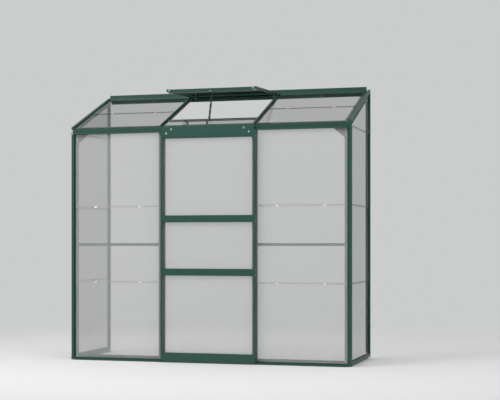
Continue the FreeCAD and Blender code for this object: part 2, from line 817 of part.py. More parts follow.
def make_gable_panes(side, name):
    """Three lapped panes and the sloping top pane of one gable."""
    pieces = []
    width = "(frame_depth - 2 * glass_edge)"
    top_foot = f"({EAVE_LOW} + pane_rise)"
    outer = f"({HALF} - seat_set + glass_gap)"
    for index in range(3):
        lift = "0" if index == 0 else LAP_LIFT
        height = course_height(index, f"{top_foot} + lap_length")
        box = slab(
            f"gable_pane_{name}_{index}",
            ("glass_thick", width, height),
            ("0", f"{FRONT} + glass_edge", course_foot(index)),
            keep=False,
        )
        tilt = math.degrees(math.atan(number(lift) / number(height)))
        box.Placement = Placement(box.Placement.Base, Rotation(Vector(0, -side, 0), tilt))
        box.setExpression("Placement.Rotation.Angle", cells(slant(lift, height)))
        near = f"{side} * ({outer} + ({lift}))"
        box.setExpression("Placement.Base.x", cells(near if side > 0 else f"{near} - glass_thick"))
        pieces.append(box)
    pieces.append(make_gable_top(side, name, top_foot, outer))
    group(f"gable_panes_{name}", pieces)


def make_gable_top(side, name, foot, outer):
    """The top pane of a gable, its upper edge along the rafter."""
    body = doc.addObject("PartDesign::Body", f"gable_top_{name}")
    sketch = new_sketch(body, "YZ")
    under = "-(glass_edge - seat_set)"
    near = "glass_edge"
    far = f"({WALL} - glass_edge)"
    outline(sketch, [
        (near, "0"),
        (far, "0"),
        (far, f"{roof(far, under)} - {foot}"),
        (near, f"{roof(near, under)} - {foot}"),
    ])
    pad(body, sketch, "glass_thick", backward=side < 0)
    lift = LAP_LIFT
    height = f"({roof(far, under)} - {foot})"
    body.Placement = Placement(Vector(), Rotation(Vector(0, -side, 0), 1))
    body.setExpression("Placement.Rotation.Angle", cells(slant(lift, height)))
    place(body, (f"{side} * ({outer} + {lift})", FRONT, foot))
    return body


def make_roof_panes(side, name):
    """Two lapped panes between a gable rafter and a roof bar."""
    start = from_side(side, "glass_edge")
    end = f"({side} * ({BAR} + rib_wide / 2 + rib_gap))"
    left = start if side < 0 else end
    lap = up_slope("roof_lap")
    top = up_slope(f"{WALL} - glass_wall_gap")
    for level, foot, head, lift in (
        ("lower", f"-roof_drip / {COS}", f"{lap} + lap_length", "0"),
        ("upper", lap, top, LAP_LIFT),
    ):
        rise = f"(glass_gap + {lift})"
        slab(
            f"roof_pane_{level}_{name}",
            (f"{side} * ({start} - {end})", f"({head}) - ({foot})", "glass_thick"),
            (
                left,
                f"{FRONT} + ({foot}) * {COS} - {rise} * {SIN}",
                f"seat_height + ({foot}) * {SIN} + {rise} * {COS}",
            ),
            f"{PITCH} - {slant(lift, f'({head}) - ({foot})')}",
        )


def make_roof_middle_pane():
    """The short fixed pane between the eave and the vent sill."""
    foot = f"(-roof_drip / {COS})"
    head = f"({SILL_BACK} - leg_wall - fit)"
    half = f"({BAR} - rib_wide / 2 - rib_gap)"
    slab(
        "roof_middle_pane",
        (f"2 * {half}", f"{head} - {foot}", "glass_thick"),
        (
            f"-{half}",
            f"{FRONT} + {foot} * {COS} - glass_gap * {SIN}",
            f"seat_height + {foot} * {SIN} + glass_gap * {COS}",
        ),
        PITCH,
    )


def clip(name, x, at, pitch):
    """An S-shaped lap clip: it hooks over the lower pane and holds the upper pane's edge."""
    body = doc.addObject("PartDesign::Body", name)
    sketch = new_sketch(body, "YZ")
    near = "(-lap_gap / 2 - clip_thick / 2)"
    far = "(-lap_gap / 2 + clip_thick / 2)"
    back = "(glass_thick + fit)"
    front = "(-lap_gap - glass_thick - fit)"
    over = "(lap_length + fit)"
    outline(sketch, [
        (f"{front} - clip_thick", "-fit - clip_thick"),
        (far, "-fit - clip_thick"),
        (far, over),
        (back, over),
        (back, "clip_start"),
        (f"{back} + clip_thick", "clip_start"),
        (f"{back} + clip_thick", f"{over} + clip_thick"),
        (near, f"{over} + clip_thick"),
        (near, "-fit"),
        (front, "-fit"),
        (front, "clip_grip"),
        (f"{front} - clip_thick", "clip_grip"),
    ])
    pad(body, sketch, "clip_wide", middle=True)
    place(body, (x, *at), pitch)
    return body


def make_lap_clips():
    """Clips a quarter in from each side of the lapped panes, on the front and on the roof."""
    clips = []
    inner = f"({BAR} + rib_wide / 2 + rib_gap)"
    outer = f"({HALF} - glass_edge)"
    face = "seat_set - glass_gap - glass_thick"
    for side in (-1, 1):
        for share in ("0.24", "0.76"):
            x = f"{side} * ({inner} + {share} * ({outer} - {inner}))"
            for index in (1, 2):
                at = (f"{FRONT} + {face}", course_foot(index))
                clips.append(clip(f"clip_{len(clips)}", x, at, "0"))
            lap = up_slope("roof_lap")
            rise = "(glass_gap + glass_thick)"
            back = f"{FRONT} + {lap} * {COS} - {rise} * {SIN}"
            at = (back, f"seat_height + {lap} * {SIN} + {rise} * {COS}")
            clips.append(clip(f"clip_{len(clips)}", x, at, f"{PITCH} - 90"))
    group("lap_clips", clips)


def bolt(name, x, height, start, end):
    """A flush bolt through plates that lie behind the glass seat, with its nut."""
    shank = doc.addObject("Part::Cylinder", f"{name}_shank")
    shank.setExpression("Radius", cells("bolt_radius"))
    shank.setExpression("Height", cells(f"({end}) - ({start}) + nut_tall / 2"))
    nut = doc.addObject("Part::Prism", f"{name}_nut")
    nut.Polygon = 6
    nut.setExpression("Circumradius", cells("nut_across / 2 / cos(30)"))
    nut.setExpression("Height", cells("nut_tall"))
    for piece, back in ((shank, start), (nut, end)):
        piece.Placement = Placement(Vector(), Rotation(Vector(1, 0, 0), -90))
        place(piece, (x, f"{FRONT} + {back}", height))
    fused = doc.addObject("Part::Fuse", name)
    fused.Base = shank
    fused.Tool = nut
    return fused


def through(body, x, height, start, end):
    """The clearance hole for a bolt in a plate."""
    depth = f"({end}) - ({start}) + 2 * fit"
    drill(body, (x, f"{start} - fit", height), "Y", "bolt_radius + axle_gap", depth)


def make_frame_bolts():
    """Bolts that join braces and gussets to the posts, bars and eave beam."""
    plates = {node.Label: node for node in NODES}
    pieces = []
    brace_back = f"({SEAT_BACK} + leg_wall)"
    gusset_back = f"({SEAT_BACK} + thin_wall)"
    brace_height = "(brace_low + brace_tall / 2 - leg_wall)"
    sill_height = "(upstand_top - bolt_inset - fit)"
    gusset_low = f"({GUSSET_LOW} + gusset_bolt_rise)"
    gusset_high = f"({EAVE_LOW} - bolt_radius - fit)"
    eave_height = f"({GUSSET_TOP} - gusset_bolt_drop)"
    for side, name in ((-1, "left"), (1, "right")):
        post_x = from_side(side, "corner_reach - bolt_inset")
        bar_x = f"({side} * ({BAR} + bar_width / 4 + channel_wide / 4))"
        local_bar_x = f"({side} * (bar_width / 4 + channel_wide / 4))"
        eave_x = from_side(side, "gusset_reach - gusset_bolt_in")
        for x, height, end in (
            (post_x, sill_height, SEAT_BACK),
            (post_x, brace_height, brace_back),
            (post_x, gusset_low, gusset_back),
            (post_x, gusset_high, gusset_back),
            (bar_x, brace_height, brace_back),
            (eave_x, eave_height, gusset_back),
        ):
            pieces.append(bolt(f"bolt_{len(pieces)}", x, height, "seat_set", end))
        for height in (sill_height, brace_height, gusset_low, gusset_high):
            through(plates[f"corner_post_{name}"], post_x, f"{height} - shelf_top", "seat_set", SEAT_BACK)
        bar_height = f"{brace_height} - shelf_top"
        through(plates[f"front_bar_{name}"], local_bar_x, bar_height, "seat_set", SEAT_BACK)
        through(plates["eave_beam"], eave_x, eave_height, "seat_set", SEAT_BACK)
        for x in (post_x, bar_x):
            through(plates[f"front_brace_{name}"], x, f"{brace_height} - brace_low", SEAT_BACK, brace_back)
        for x, height in ((post_x, gusset_low), (post_x, gusset_high), (eave_x, eave_height)):
            through(plates[f"gusset_{name}"], x, height, "0", "thin_wall")
    group("frame_bolts", pieces)


# Door
DOOR_X = "door_aside"
DOOR_BACK = "(door_stand - stile_deep)"
DOOR_GLASS_BACK = "-(door_seat + leg_wall + glass_gap)"
RAIL_BACK = f"({DOOR_GLASS_BACK} - glass_thick - fit)"
STILE_TOP = f"({EAVE_LOW} - door_under)"
TOP_RAIL_LOW = f"({STILE_TOP} - top_rail_tall)"
WHEEL_HEIGHT = f"({EAVE_LOW} + thin_wall + wheel_radius + fit)"
HEADER_BOLT = f"({WHEEL_HEIGHT} - header_bolt_drop)"


def make_stile(side, name):
    """Door stile: a channel open to the glass, with a flange in front and the glass seat behind."""
    body = new_body(f"door_stile_{name}", (DOOR_X, FRONT, "door_low"))
    sketch = new_sketch(body, "XY")
    points = [
        ("0", "-door_stand + head_soft"),
        ("head_soft", "-door_stand"),
        ("stile_flange - head_soft", "-door_stand"),
        ("stile_flange", "-door_stand + head_soft"),
        ("stile_flange", "-door_stand + thin_wall"),
        ("thin_wall", "-door_stand + thin_wall"),
        ("thin_wall", "-door_seat - leg_wall"),
        ("stile_seat", "-door_seat - leg_wall"),
        ("stile_seat", "-door_seat"),
        ("thin_wall", "-door_seat"),
        ("thin_wall", f"-{DOOR_BACK}"),
        ("0", f"-{DOOR_BACK}"),
    ]
    outline(sketch, [(f"({side} * (door_width / 2 - ({inward})))", back) for inward, back in points])
    pad(body, sketch, f"{STILE_TOP} - door_low")
    ends = [f"{side} * (door_width / 2 + fit)", f"{side} * (door_width / 2 - stile_seat - fit)"]
    near, far = sorted(ends, key=number)
    notch(body, (near, "-(sill_reach + guide_gap)", "-fit"), (far, "0", "stile_foot - door_low"))
    web = "(door_width / 2 - thin_wall - fit)" if side > 0 else "(-door_width / 2 - fit)"
    for height in screw_heights():
        at = (web, "-(door_stand - screw_back)", f"{height} - door_low")
        drill(body, at, "X", "screw_radius + screw_gap", "thin_wall + 2 * fit")


def screw_heights():
    """Two screws at each end of each rail."""
    rails = (
        (TOP_RAIL_LOW, STILE_TOP),
        ("upper_rail_low", "upper_rail_low + mid_rail_tall"),
        ("lower_rail_low", "lower_rail_low + mid_rail_tall"),
        ("stile_foot", "bottom_rail_top - screw_in"),
    )
    heights = []
    for low, high in rails:
        heights.append(f"({low} + screw_in)")
        heights.append(f"({high} - screw_in)")
    return heights


def make_rail(label, low, high, face, hang=None):
    """Door rail: a face plate with two flanges that run back to the glass; hang lifts the lower flange."""
    body = new_body(label, (DOOR_X, FRONT, low))
    sketch = new_sketch(body, "YZ")
    tall = f"({high} - {low})"
    inner = f"({face} + thin_wall)"
    if hang is None:
        foot = [(face, "0"), (RAIL_BACK, "0"), (RAIL_BACK, "thin_wall"), (inner, "thin_wall")]
    else:
        foot = [
            (face, "0"),
            (inner, "0"),
            (inner, hang),
            (RAIL_BACK, hang),
            (RAIL_BACK, f"{hang} + thin_wall"),
            (inner, f"{hang} + thin_wall"),
        ]
    upper = f"{tall} - thin_wall"
    outline(sketch, foot + [(inner, upper), (RAIL_BACK, upper), (RAIL_BACK, tall), (face, tall)])
    pad(body, sketch, "door_width - 2 * thin_wall - 2 * fit", middle=True)
    return body


def make_door():
    for side, name in ((-1, "left"), (1, "right")):
        make_stile(side, name)
    behind_flange = "-(door_stand - thin_wall - fit)"
    behind_header = "-(door_stand - 2 * thin_wall - fit)"
    top_rail = make_rail("door_top_rail", TOP_RAIL_LOW, STILE_TOP, behind_header)
    for side in (-1, 1):
        at = (f"{side} * header_bolt_pitch / 2", f"{behind_header} - fit", f"{HEADER_BOLT} - {TOP_RAIL_LOW}")
        drill(top_rail, at, "Y", "bolt_radius + axle_gap", "thin_wall + 2 * fit")
    make_rail("door_upper_rail", "upper_rail_low", "(upper_rail_low + mid_rail_tall)", behind_flange)
    make_rail("door_lower_rail", "lower_rail_low", "(lower_rail_low + mid_rail_tall)", behind_flange)
    make_rail("door_bottom_rail", "door_low", "bottom_rail_top", behind_flange, "(stile_foot - door_low)")
    make_header()
    spans = (
        ("door_pane_top", "upper_rail_low + mid_rail_tall", TOP_RAIL_LOW),
        ("door_pane_middle", "lower_rail_low + mid_rail_tall", "upper_rail_low"),
        ("door_pane_bottom", "bottom_rail_top", "lower_rail_low"),
    )
    half = "(door_width / 2 - thin_wall - rib_gap)"
    for label, low, high in spans:
        slab(
            label,
            (f"2 * {half}", "glass_thick", f"({high}) - ({low}) + 2 * pane_overlap"),
            (f"{DOOR_X} - {half}", f"{FRONT} + {DOOR_GLASS_BACK} - glass_thick", f"{low} - pane_overlap"),
        )
    make_guides()
    make_axles()
    make_door_screws()
    for side, name in ((-1, "left"), (1, "right")):
        make_wheel(side, name)


def make_header():
    """Plate over the door that carries both wheels."""
    body = new_body("door_header", (DOOR_X, FRONT, f"{WHEEL_HEIGHT} - header_drop"))
    sketch = new_sketch(body, "XZ", "door_stand - 2 * thin_wall")
    half = "(door_width / 2 - header_inset)"
    tall = "(header_drop + header_rise)"
    outline(sketch, [(f"-{half}", "0"), (half, "0"), (half, tall), (f"-{half}", tall)])
    for side in (-1, 1):
        ring(sketch, f"{side} * wheel_pitch / 2", "header_drop", "axle_radius + axle_gap / 2")
        bolt_rise = "header_drop - header_bolt_drop"
        ring(sketch, f"{side} * header_bolt_pitch / 2", bolt_rise, "bolt_radius + axle_gap / 2")
    pad(body, sketch, "thin_wall")


def make_guides():
    """Nylon blocks under the door that run between the track lip and the riser."""
    blocks = []
    for side in (-1, 1):
        block = slab(
            f"guide_{'left' if side < 0 else 'right'}",
            ("guide_long", "sill_reach - 2 * thin_wall - 2 * guide_gap", "stile_foot - leg_wall - guide_gap"),
            (
                f"{DOOR_X} + {side} * guide_pitch / 2 - guide_long / 2",
                f"{FRONT} - sill_reach + thin_wall + guide_gap",
                "leg_wall + guide_gap",
            ),
            keep=False,
        )
        blocks.append(block)
    group("door_guides", blocks)


def turned(label, points, keep=True):
    """A turned piece: an outline of (radius, depth) swept about an axis that runs front to back."""
    body = doc.addObject("PartDesign::Body", label)
    body.Label = label
    sketch = new_sketch(body, "XY")
    outline(sketch, points)
    feature = body.newObject("PartDesign::Revolution", f"{label}_turn")
    feature.Profile = sketch
    feature.ReferenceAxis = (sketch, ["V_Axis"])
    feature.Angle = 360
    if keep:
        NODES.append(body)
    return body


def make_wheel(side, name):
    """Nylon wheel with a rounded tread and a hub, on its axle."""
    bore = "(axle_radius + axle_gap)"
    hub = "(axle_radius + wheel_hub)"
    rim = "(wheel_radius - wheel_rim)"
    dish = "wheel_dish"
    edge = "wheel_edge"
    body = turned(f"door_wheel_{name}", [
        (bore, "0"),
        (hub, "0"),
        (hub, dish),
        (rim, dish),
        (rim, "0"),
        (f"wheel_radius - {edge}", "0"),
        ("wheel_radius", edge),
        ("wheel_radius", f"wheel_wide - {edge}"),
        (f"wheel_radius - {edge}", "wheel_wide"),
        (rim, "wheel_wide"),
        (rim, f"wheel_wide - {dish}"),
        (hub, f"wheel_wide - {dish}"),
        (hub, "wheel_wide"),
        (bore, "wheel_wide"),
    ])
    place(body, (f"{DOOR_X} + {side} * wheel_pitch / 2", f"{FRONT} - wheel_back - wheel_wide", WHEEL_HEIGHT))


def make_axles():
    """Shoulder bolts through the header plate, with a head in front and a collar each side of the wheel."""
    axles = []
    plate = "(door_stand - thin_wall)"
    wheel = "(wheel_back + wheel_wide + fit)"
    end = "-(wheel_back - thin_wall)"
    for side, name in ((-1, "left"), (1, "right")):
        body = turned(f"axle_{name}", [
            ("0", "-door_stand"),
            ("axle_head", "-door_stand"),
            ("axle_head", f"-{plate}"),
            ("axle_radius", f"-{plate}"),
            ("axle_radius", f"-({plate} - thin_wall)"),
            ("axle_collar", f"-({plate} - thin_wall)"),
            ("axle_collar", f"-{wheel}"),
            ("axle_radius", f"-{wheel}"),
            ("axle_radius", "-wheel_back + fit"),
            ("axle_collar", "-wheel_back + fit"),
            ("axle_collar", end),
            ("0", end),
        ], keep=False)
        place(body, (f"{DOOR_X} + {side} * wheel_pitch / 2", FRONT, WHEEL_HEIGHT))
        axles.append(body)
    group("wheel_axles", axles)


def header_bolt(side, name):
    """A bolt through the header plate and the top rail, with its head in front."""
    front = "-door_stand"
    head_back = "-(door_stand - thin_wall)"
    end = "-(door_stand - 4 * thin_wall - nut_tall)"
    body = turned(f"header_bolt_{name}", [
        ("0", front),
        ("header_bolt_head", front),
        ("header_bolt_head", head_back),
        ("bolt_radius", head_back),
        ("bolt_radius", end),
        ("0", end),
    ], keep=False)
    place(body, (f"{DOOR_X} + {side} * header_bolt_pitch / 2", FRONT, HEADER_BOLT))
    return body


def make_door_screws():
    """Hexagon-head screws through the stiles into the rails' ends, and the header plate's two bolts."""
    screws = []
    for side in (-1, 1):
        for height in screw_heights():
            head = doc.addObject("Part::Prism", f"screw_head_{len(screws)}")
            head.Polygon = 6
            head.setExpression("Circumradius", cells("screw_head / 2 / cos(30)"))
            head.setExpression("Height", cells("screw_head_tall"))
            shank = doc.addObject("Part::Cylinder", f"screw_shank_{len(screws)}")
            shank.setExpression("Radius", cells("screw_radius"))
            shank.setExpression("Height", cells("screw_long"))
            for piece, turn in ((head, 90 * side), (shank, -90 * side)):
                piece.Placement = Placement(Vector(), Rotation(Vector(0, 1, 0), turn))
                back = f"{FRONT} - door_stand + screw_back"
                place(piece, (f"{DOOR_X} + {side} * door_width / 2", back, height))
            screw = doc.addObject("Part::Fuse", f"screw_{len(screws)}")
            screw.Base = head
            screw.Tool = shank
            screws.append(screw)
    for side, name in ((-1, "left"), (1, "right")):
        screws.append(header_bolt(side, name))
    group("door_screws", screws)


# Vent, drawn in its own frame: Y runs back along the lid to the hinge, Z stands off it
VENT_AT = ("0", f"{FRONT} + {HINGE_BACK}", HINGE_HEIGHT)


def make_vent_front_rail():
    body = new_body("vent_front_rail", VENT_AT, "vent_open")
    sketch = new_sketch(body, "YZ")
    front = "-vent_length"
    plate = "-vent_length + thin_wall"
    ledge = "-vent_length + thin_wall + ledge_wide"
    outline(sketch, [
        (front, "-vent_rail"),
        (plate, "-vent_rail"),
        (plate, "-vent_ledge"),
        (ledge, "-vent_ledge"),
        (ledge, "-vent_ledge + thin_wall"),
        (plate, "-vent_ledge + thin_wall"),
        (plate, "0"),
        (front, "0"),
    ])
    pad(body, sketch, "vent_width", middle=True)
    inner = "(vent_width / 2 - ledge_wide - fit)"
    for start, end in (("-vent_width / 2 - fit", f"-{inner}"), (inner, "vent_width / 2 + fit")):
        over = "-vent_ledge + thin_wall + fit"
        notch(body, (start, plate, "-vent_ledge - fit"), (end, f"{ledge} + fit", over))


def make_vent_side_rail(side, name):
    body = new_body(f"vent_side_rail_{name}", VENT_AT, "vent_open")
    sketch = new_sketch(body, "XZ", "vent_length - thin_wall - fit")
    points = [
        ("0", "-vent_rail"),
        ("thin_wall", "-vent_rail"),
        ("thin_wall", "-vent_ledge"),
        ("ledge_wide", "-vent_ledge"),
        ("ledge_wide", "-vent_ledge + thin_wall"),
        ("thin_wall", "-vent_ledge + thin_wall"),
        ("thin_wall", "vent_proud"),
        ("0", "vent_proud"),
    ]
    outline(sketch, [(f"({side} * (vent_width / 2 - {inward}))", height) for inward, height in points])
    pad(body, sketch, "vent_length - thin_wall - fit - vent_hinge_reach", backward=True)


def make_vent_hinge_rail():
    """Hinge rail: a ledge for the glass and a hook that turns on the wall plate's bead."""
    body = new_body("vent_hinge_rail", VENT_AT, "vent_open")
    ledge = new_sketch(body, "YZ")
    hook_outside = "(bead_radius + bead_gap + hook_wall)"
    hook_middle = "(bead_radius + bead_gap + hook_wall / 2)"
    outline(ledge, [
        ("-vent_hinge_reach + fit", "-vent_ledge"),
        ("-thin_wall", "-vent_ledge"),
        ("-thin_wall", f"-{hook_middle} + fit"),
        (f"-{hook_middle}", "-thin_wall"),
        (f"-{hook_outside} + fit", "-vent_ledge + thin_wall"),
        ("-vent_hinge_reach + fit", "-vent_ledge + thin_wall"),
    ])
    pad(body, ledge, "vent_width - 2 * fit", middle=True)
    hook = new_sketch(body, "YZ")
    ring(hook, "0", "0", hook_outside)
    pad(body, hook, "vent_width - 2 * fit", middle=True)
    doc.recompute()
    bore = new_sketch(body, "YZ")
    ring(bore, "0", "0", "bead_radius + bead_gap")
    feature = body.newObject("PartDesign::Pocket", "vent_hinge_bore")
    feature.Profile = bore
    feature.Midplane = True
    feature.Length = REACH
    # The mouth lets the bead's arm in over the whole travel
    mouth = "(3 * bead_radius)"
    cut_through(body, "YZ", [
        ("0", "0"),
        (mouth, f"{mouth} * tan(mouth_above)"),
        (mouth, f"-{mouth} * tan(mouth_under)"),
    ])


def make_vent_pane():
    half = "(vent_width / 2 - thin_wall - rib_gap)"
    front = "(vent_length - thin_wall - rib_gap)"
    lift = "(-vent_ledge + thin_wall + glass_gap)"
    slab(
        "vent_pane",
        (f"2 * {half}", f"{front} - vent_pane_stop", "glass_thick"),
        (
            f"-{half}",
            f"{VENT_AT[1]} - {front} * cos(vent_open) - {lift} * sin(vent_open)",
            f"{VENT_AT[2]} - {front} * sin(vent_open) + {lift} * cos(vent_open)",
        ),
        "vent_open",
    )


def make_stay_bracket():
    """Strap under the vent's front ledge with an ear and the pin that the stay turns on."""
    body = new_body("stay_bracket", ("stay_side", *VENT_AT[1:]), "vent_open")
    strap = new_sketch(body, "YZ", "stay_wide / 2 + fit")
    front = "(-vent_length + thin_wall + fit)"
    outline(strap, [
        (front, "-vent_ledge - thin_wall"),
        (f"{STAY_Y} - eye_radius", "-stay_drop - eye_radius"),
        (f"{STAY_Y} + eye_radius", "-stay_drop - eye_radius"),
        (f"{STAY_Y} + eye_radius", "-stay_drop + eye_radius"),
        (f"{STAY_Y} + bracket_reach", "-vent_ledge"),
        (front, "-vent_ledge"),
    ])
    pad(body, strap, "thin_wall")
    pin = new_sketch(body, "YZ", "-stay_wide / 2 - thin_wall")
    ring(pin, STAY_Y, "-stay_drop", "pin_radius")
    pad(body, pin, "stay_wide + fit + 2 * thin_wall")


def make_vent_stay():
    """Flat stay with a row of peg holes, hung from its eye."""
    at = ("stay_side", f"{FRONT} + {STAY_BACK}", STAY_HEIGHT)
    body = new_body("vent_stay", at, "stay_pitch")
    eye = new_sketch(body, "YZ", "-stay_wide / 2")
    ring(eye, "0", "0", "eye_radius")
    ring(eye, "0", "0", "pin_radius + axle_gap")
    pad(body, eye, "stay_wide")
    flat = new_sketch(body, "XZ", "-stay_thick")
    lean = "sin(stay_lean)"
    drop = "cos(stay_lean)"
    near = "(eye_radius - stay_thick / 3)"
    points = []
    for across, along in ((-1, near), (1, near), (1, STAY_LENGTH), (-1, STAY_LENGTH)):
        side = f"({across} * stay_wide / 2)"
        points.append((f"({side} * {drop} - ({along}) * {lean})", f"(-{side} * {lean} - ({along}) * {drop})"))
    outline(flat, points)
    for index in range(SIZES["peg_holes"]):
        along = f"({STAY_LENGTH} - stay_wide / 2 - {index} * hole_pitch)"
        ring(flat, f"-{along} * {lean}", f"-{along} * {drop}", "peg_hole")
    pad(body, flat, "stay_thick")


def make_vent():
    make_vent_front_rail()
    for side, name in ((-1, "left"), (1, "right")):
        make_vent_side_rail(side, name)
    make_vent_hinge_rail()
    make_vent_pane()
    make_stay_bracket()
    make_vent_stay()


def make_frame():
    make_front_sill()
    make_eave_beam()
    make_wall_plate()
    for side, name in ((-1, "left"), (1, "right")):
        make_side_sill(side, name)
        make_corner_post(side, name)
        make_wall_post(side, name)
        make_front_bar(side, name)
        make_gable_rafter(side, name)
        make_roof_bar(side, name)
        make_front_brace(side, name)
        make_gusset(side, name)
    make_vent_sill()
    make_stay_pegs()


def make_glass():
    for side, name in ((-1, "left"), (1, "right")):
        make_front_panes(side, name)
        make_gable_panes(side, name)
        make_roof_panes(side, name)
    make_roof_middle_pane()
    make_lap_clips()


def check_document():
    for item in doc.Objects:
        if "Invalid" in item.State or "Error" in item.State:
            raise RuntimeError(f"{item.Name} is {item.State}")
    for node in NODES:
        shape = node.Shape
        if shape.isNull() or not shape.isValid() or not shape.Solids:
            raise RuntimeError(f"{node.Label} has no valid solid")
        if hasattr(node, "Tip") and len(shape.Solids) != 1:
            raise RuntimeError(f"{node.Label} is not one piece")


def export():
    os.makedirs("parts", exist_ok=True)
    for node in NODES:
        node.Shape.exportStep(f"parts/{node.Label}.step")


make_frame()
make_glass()
make_frame_bolts()
make_door()
make_vent()
doc.recompute()
check_document()
export()
print(len(NODES), "nodes")
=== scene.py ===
import math

import bmesh
import bpy
from bpy.props import FloatProperty, FloatVectorProperty, IntProperty, PointerProperty
from mathutils import Matrix, Vector


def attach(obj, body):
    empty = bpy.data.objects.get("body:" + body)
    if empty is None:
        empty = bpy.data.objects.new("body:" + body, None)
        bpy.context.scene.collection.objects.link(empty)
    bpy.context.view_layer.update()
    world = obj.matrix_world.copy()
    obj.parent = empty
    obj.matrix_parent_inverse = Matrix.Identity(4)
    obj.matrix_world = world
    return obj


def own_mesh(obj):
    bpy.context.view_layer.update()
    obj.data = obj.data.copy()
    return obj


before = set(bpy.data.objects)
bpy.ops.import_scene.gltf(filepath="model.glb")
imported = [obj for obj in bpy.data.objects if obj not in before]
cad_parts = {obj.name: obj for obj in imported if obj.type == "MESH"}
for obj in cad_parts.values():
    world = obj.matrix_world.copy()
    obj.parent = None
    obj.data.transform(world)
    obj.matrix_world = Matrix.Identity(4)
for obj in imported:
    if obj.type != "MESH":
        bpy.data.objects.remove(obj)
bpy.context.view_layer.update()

bl_info = {
    "name": "Lean-to greenhouse",
    "version": (1, 0, 0),
    "blender": (4, 5, 0),
    "location": "3D View > Sidebar > Greenhouse",
    "description": "Finishes and small parts of a lean-to greenhouse, and the studio it stands in",
    "category": "Add Mesh",
}

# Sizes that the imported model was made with, in millimetres. X is beside the middle, depths are
# behind the face of the corner posts, and heights are over the ground.
POST_FACE = -305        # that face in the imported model
POST_X = 965            # outer side of the corner posts
POST_TOP = 1533
POST_HEAD = 19          # side of the posts' square head
EAVE_END_X = 945.7
EAVE_TOP = 1567.5
FASCIA_BACK = 618       # front of the wall plate
GLASS = 3
GLASS_GAP = 0.3         # under every pane
ROOF_SEAT = 1557        # height at which the roof's glass seat starts
ROOF_PITCH = math.atan2(268, 650)
HINGE_BACK = 612
HINGE_Z = 1830.97
VENT_PITCH = math.radians(2.1)      # of the vent as it stands open
VENT_LENGTH = 541       # from the hinge line to the front rail's face

# Blocks that this file adds on both sides, in the same millimetres: for the right side, where each
# starts and ends in X, depth and height.
CORNER_CAP = ((POST_X - POST_HEAD + 0.4, POST_X - 0.4), (0.4, POST_HEAD - 0.4), (POST_TOP, POST_TOP + 2))
EAVE_TAB = ((EAVE_END_X + 0.3, POST_X - 9), (0.8, 5), (POST_TOP + 1, EAVE_TOP))
RAFTER_PLUG = ((POST_X - POST_HEAD + 2.3, POST_X - 2.3), (0.3, 3), (ROOF_SEAT - 2.6, ROOF_SEAT + 10.5))
POST_LIP = ((938, 950.45), (602.2, 604.7), (38, 1752))

# The plates of the stay's pegs.
PEG_PLATE_MIDDLES = (-181, -42)
PEG_PLATE_HALF = 8
PEG_PLATE_BACK = (129.2, 131.2)
PEG_PLATE_HEIGHT = (1577, 1599)

# The beads of the roof glass, with their section in metres.
BEAD_RUNS = ((-934, -342), (342, 934))
BEAD_REACH = 0.006      # down the glass
BEAD_RISE = 0.008       # up the wall plate
BEAD_BITE = 0.0002      # into both, so that no gap shows

# The vent's seal.
SEAL_RUNS = ((-296, -16), (6, 296))     # either side of the stay's bracket
SEAL_AHEAD = 529.5      # its middle, ahead of the hinge line
SEAL_TOP = -8.6         # underside of the front rail's glass shelf, from the hinge line
SEAL_ROUND = 8          # sides of its half round foot

# The screws.
POST_SCREW_PLACE = (-POST_X + 11, 0, 1523)
FASCIA_SCREW_X = (-287, 287)
FASCIA_SCREW_Z = 1812
VENT_SCREW_X = (-288, 292)
VENT_SCREW_RISE = -9

# Rounding of the added pieces and the glass, in metres.
SMALL_ROUNDING = 0.0006
PLATE_ROUNDING = 0.0008
PANE_ROUNDING = 0.0004

# Finishes: depths of relief and widths of grain in metres, and the shaders' plain values.
COAT_RELIEF = 0.00006
COAT_SHINE = 0.28       # specular level, under that of bare plastic
PANE_RELIEF = 0.0002
PANE_SHADOW = 0.28      # share of a shadow that a pane still casts
PANE_SLANT = (0.86, 0.92)       # where the painted reflected shade starts and is full, of 1 for along the sheet
METAL_RELIEF = 0.00003
BRIGHT_METAL, DULL_METAL = 0.26, 0.45       # roughness between the scratches
NYLON_GRAIN, NYLON_RELIEF = 0.0006, 0.00004
FOAM_GRAIN, FOAM_RELIEF = 0.0009, 0.0002

# The studio, in metres.
KEY_LAMP_PLACE, KEY_LAMP_SIZE = (-3.4, -4.6, 4.6), 3.2
FILL_LAMP_PLACE, FILL_LAMP_SIZE = (4.6, -4.0, 3.2), 3.0
LAMP_AIM = (0, 0, 0.9)
FLOOR_RADIUS, FLOOR_SIDES = 14, 96
FLOOR_DROP = 0.0005
FLOOR_FADE = (1.3, 4.2)     # from the floor's own colour to the backdrop's
CAMERA_PLACE = (2.54, -8.12, 0.785)
CAMERA_TURN = math.radians(16.04)
SENSOR_WIDTH, FOCAL_LENGTH = 36, 90.14      # in millimetres
CAMERA_RISE = 0.0864        # shift of the picture, as a share of its width
VIEW_END = 60

NOT_GREEN = ("pane", "clips", "bolts", "screws", "axles", "wheel", "guides")
GREEN_NODES = [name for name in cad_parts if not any(word in name for word in NOT_GREEN)]
STAY_NODES = ("vent_stay", "stay_bracket", "stay_pegs")
NYLON_NODES = ("door_wheel_left", "door_wheel_right", "door_guides")
ZINC_NODES = ("frame_bolts", "door_screws")

# Panes by the start of their nodes' names: the way the sheet faces, its IOR, and whether the film of
# dried splashes lies on it. The IOR is low where a sheet is seen at a slant, which keeps it clear.
PANES = {
    "door_pane": ((0, -1, 0), 1.45, True),
    "front_pane": ((0, -1, 0), 1.45, True),
    "gable_panes": ((1, 0, 0), 1.03, False),
    "roof_": ((0, -math.sin(ROOF_PITCH), math.cos(ROOF_PITCH)), 1.15, False),
    "vent_pane": ((0, -math.sin(VENT_PITCH), math.cos(VENT_PITCH)), 1.15, False),
}


